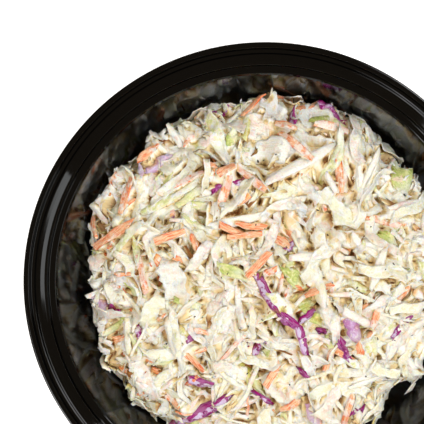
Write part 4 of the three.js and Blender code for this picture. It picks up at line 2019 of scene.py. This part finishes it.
@dataclass
class Slaw:
    """The coleslaw: the laid shreds over a body of dressed slaw."""

    form: HeapForm
    view: Viewpoint
    map_margin: float = 3.0
    late_share: float = 0.12  # of the shreds, laid round the landmarks at the end
    late_spots: int = 2  # compared for each of them
    late_tries: int = 6
    film_spread: float = 0.7
    film_follows: float = 0.35  # how finely the dressing follows the shreds
    film_sink: Span = (0.25, 0.42)  # how deep it lies between shreds, and how that varies
    film_clouds: float = 2.5  # how broadly it varies
    film_depth: Span = (0.15, 2.0)  # the least and the most that it sinks
    film_fills: float = 0.4  # the crevices that it fills, and deeper ones stay open
    film_opens: float = 2.0  # how much deeper the open ones go, for each millimetre
    film_deepest: float = 1.2
    film_grain: Span = (0.06, 0.8)  # its fine unevenness: how high and how broad
    film_clear: float = 1.1  # how far it stays under the pieces that lie on top
    body_cells: int = 300
    body_margin: float = 1.0
    body_gap: float = 0.9
    body_rings: tuple[float, ...] = (17.0, 11.0, 6.5)  # the heights where the body follows the wall
    body_base: tuple[float, float] = (46.0, 3.0)  # its lowest ring's radius and height

    def build(self) -> list[bpy.types.Object]:
        """Lay the heap and make its pieces.

        Returns:
            The pieces, with the body first.
        """
        relief = Relief(self.form.end + self.map_margin)
        heap = ShredHeap(self.form, relief, np.random.default_rng(SEED))
        self.lay_all(heap)
        LOG.info("slaw lies %.1f mm thick on average", relief.thick[relief.thick > 0].mean())
        skin = Skin(relief)
        made = [self.body(skin, self.film(heap))]
        for kind in (*KINDS, PEPPER_SPECK):
            made.append(heap.stores[kind.name].to_object(kind, self.finish_of(kind), skin))
        for piece in made:
            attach(piece, "root")
        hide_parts("slaw")
        return made

    def lay_all(self, heap: ShredHeap) -> None:
        """Lay most shreds, then the landmarks, then the late shreds round them and the pepper.

        Args:
            heap: The empty heap.
        """
        deck = [kind for kind in KINDS for _ in range(kind.count)]
        order = np.argsort(heap.random.random(len(deck)) + np.array([kind.late for kind in deck]))
        early = len(deck) - int(len(deck) * self.late_share)
        for i in order[:early]:
            heap.lay(deck[i], heap.low_spot(), heap.chance_lay(deck[i]))
        for landmark in LANDMARKS:
            self.lay_landmark(heap, landmark)
        for i in order[early:]:
            kind = deck[i]
            for _ in range(self.late_tries):
                spot, lay = heap.low_spot(self.late_spots), heap.chance_lay(kind)
                if not heap.covers_kept(kind, spot, lay):
                    heap.lay(kind, spot, lay)
                    break
        for _ in range(PEPPER_SPECK.count):
            heap.lay(PEPPER_SPECK, heap.low_spot(1), heap.chance_lay(PEPPER_SPECK))

    def film(self, heap: ShredHeap) -> np.ndarray:
        """Work out how high the dressing stands between the shreds.

        Args:
            heap: The heap when all is laid.

        Returns:
            The heights, on the relief's grid.
        """
        relief = heap.relief
        sink = self.film_sink[0] + self.film_sink[1] * relief.clouds(heap.random, self.film_clouds)
        level = relief.blurred(relief.thick, self.film_spread)
        low = level - relief.blurred(relief.thick, self.film_follows) - self.film_fills
        opened = self.film_opens * np.clip(low, 0, self.film_deepest)
        film = level - np.clip(sink, *self.film_depth) - opened
        film += self.film_grain[0] * relief.clouds(heap.random, self.film_grain[1])
        return np.where(relief.kept, np.minimum(film, relief.thick - self.film_clear), film)

    @staticmethod
    def finish_of(kind: ShredKind) -> bpy.types.Material:
        """Give a kind's material, made once for all kinds that share the finish."""
        return bpy.data.materials.get(kind.finish.name) or kind.finish.material()

    def lay_landmark(self, heap: ShredHeap, landmark: Landmark) -> None:
        """Lay a landmark between its two ends.

        Args:
            heap: The heap so far.
            landmark: The piece.
        """
        start = self.form.spot_under(self.view, landmark.start)
        end = self.form.spot_under(self.view, landmark.end)
        step = end - start
        bend = math.sin(landmark.turn / 2) / (landmark.turn / 2) if landmark.turn else 1.0
        lay = Lay(
            length=float(np.hypot(*step)) / bend,
            width=landmark.width,
            heading=math.atan2(step[1], step[0]),
            turn=landmark.turn,
            tone=landmark.tone,
            roll=landmark.roll,
            curl=landmark.curl,
            stiff=landmark.stiff,
            keeps=True,
        )
        heap.lay(landmark.kind, (start + end) / 2, lay)

    def disc(self) -> np.ndarray:
        """Spread a square grid over the round map.

        Returns:
            The spots, row by row.
        """
        u, v = np.meshgrid(*[np.linspace(-1, 1, self.body_cells + 1)] * 2, indexing="ij")
        steep = np.abs(v) > np.abs(u)
        way = np.where(steep, v, u)
        with np.errstate(divide="ignore", invalid="ignore"):
            turn = np.where(steep, math.pi / 2 - math.pi / 4 * u / v, math.pi / 4 * v / u)
        turn = np.nan_to_num(turn)
        spots = np.stack([way * np.cos(turn), way * np.sin(turn)], -1).reshape(-1, 2)
        return spots * (self.form.end - self.body_margin)

    def body(self, skin: Skin, film: np.ndarray) -> bpy.types.Object:
        """Make the body of dressed slaw that shows deep between the shreds.

        Args:
            skin: The finished heap's surface.
            film: How high the body lies, on the relief's grid.

        Returns:
            The new object.
        """
        form, side = self.form, self.body_cells + 1
        spots = self.disc()
        lift = film[skin.relief.cells(spots)]
        points = form.place(spots, lift)
        points[:, 2] = np.minimum(points[:, 2], form.top - self.body_margin)
        points = form.clear_of_wall(points, form.wall_gap)

        number = np.arange(side**2).reshape(side, side)
        quads = np.stack([number[:-1, :-1], number[1:, :-1], number[1:, 1:], number[:-1, 1:]], -1)
        edge = np.concatenate([number[:-1, 0], number[-1, :-1], number[:0:-1, -1], number[0, :0:-1]])
        angles = np.arctan2(points[edge, 1], points[edge, 0])
        sides = [(float(form.bowl.wall_radius(height)) - self.body_gap, height) for height in self.body_rings]
        rings, faces = [points], quads.reshape(-1, 4).tolist()
        above = edge
        for radius, height in (*sides, self.body_base):
            ring = [radius * np.cos(angles), radius * np.sin(angles), np.full(len(edge), height)]
            below = np.arange(len(edge)) + sum(len(ring_above) for ring_above in rings)
            rings.append(np.stack(ring, -1))
            faces += np.stack([above, below, np.roll(below, -1), np.roll(above, -1)], -1).tolist()
            above = below
        points = np.concatenate([*rings, [[0, 0, self.body_base[1]]]])
        faces += [[len(points) - 1, int(b), int(a)] for a, b in zip(above, np.roll(above, -1))]
        made = new_object("dressed_body", points, faces, DressedBodyFinish().material())
        grains = np.zeros((len(points), 3), np.float32)
        # the share of painted shade deep between the shreds
        grains[: len(spots), 2] = skin.sunk(spots, lift)
        made.data.attributes.new("grain_and_painted_shade", "FLOAT_VECTOR", "POINT").data.foreach_set("vector", grains.ravel())
        return made


# ---------------------------------------------------------------- all of it


def main() -> None:
    """Build the bowl of coleslaw and its studio, and log each piece's triangles."""
    logging.basicConfig(level=logging.INFO, format="%(message)s")
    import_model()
    view = Viewpoint()
    view.build()
    Studio().build()
    bowl = Bowl()
    made = [bowl.build(), *Slaw(HeapForm(bowl), view).build()]
    for piece in made:
        triangles = sum(len(face.vertices) - 2 for face in piece.data.polygons)
        LOG.info("%s: %d triangles", piece.name, triangles)


if __name__ == "__main__":
    main()
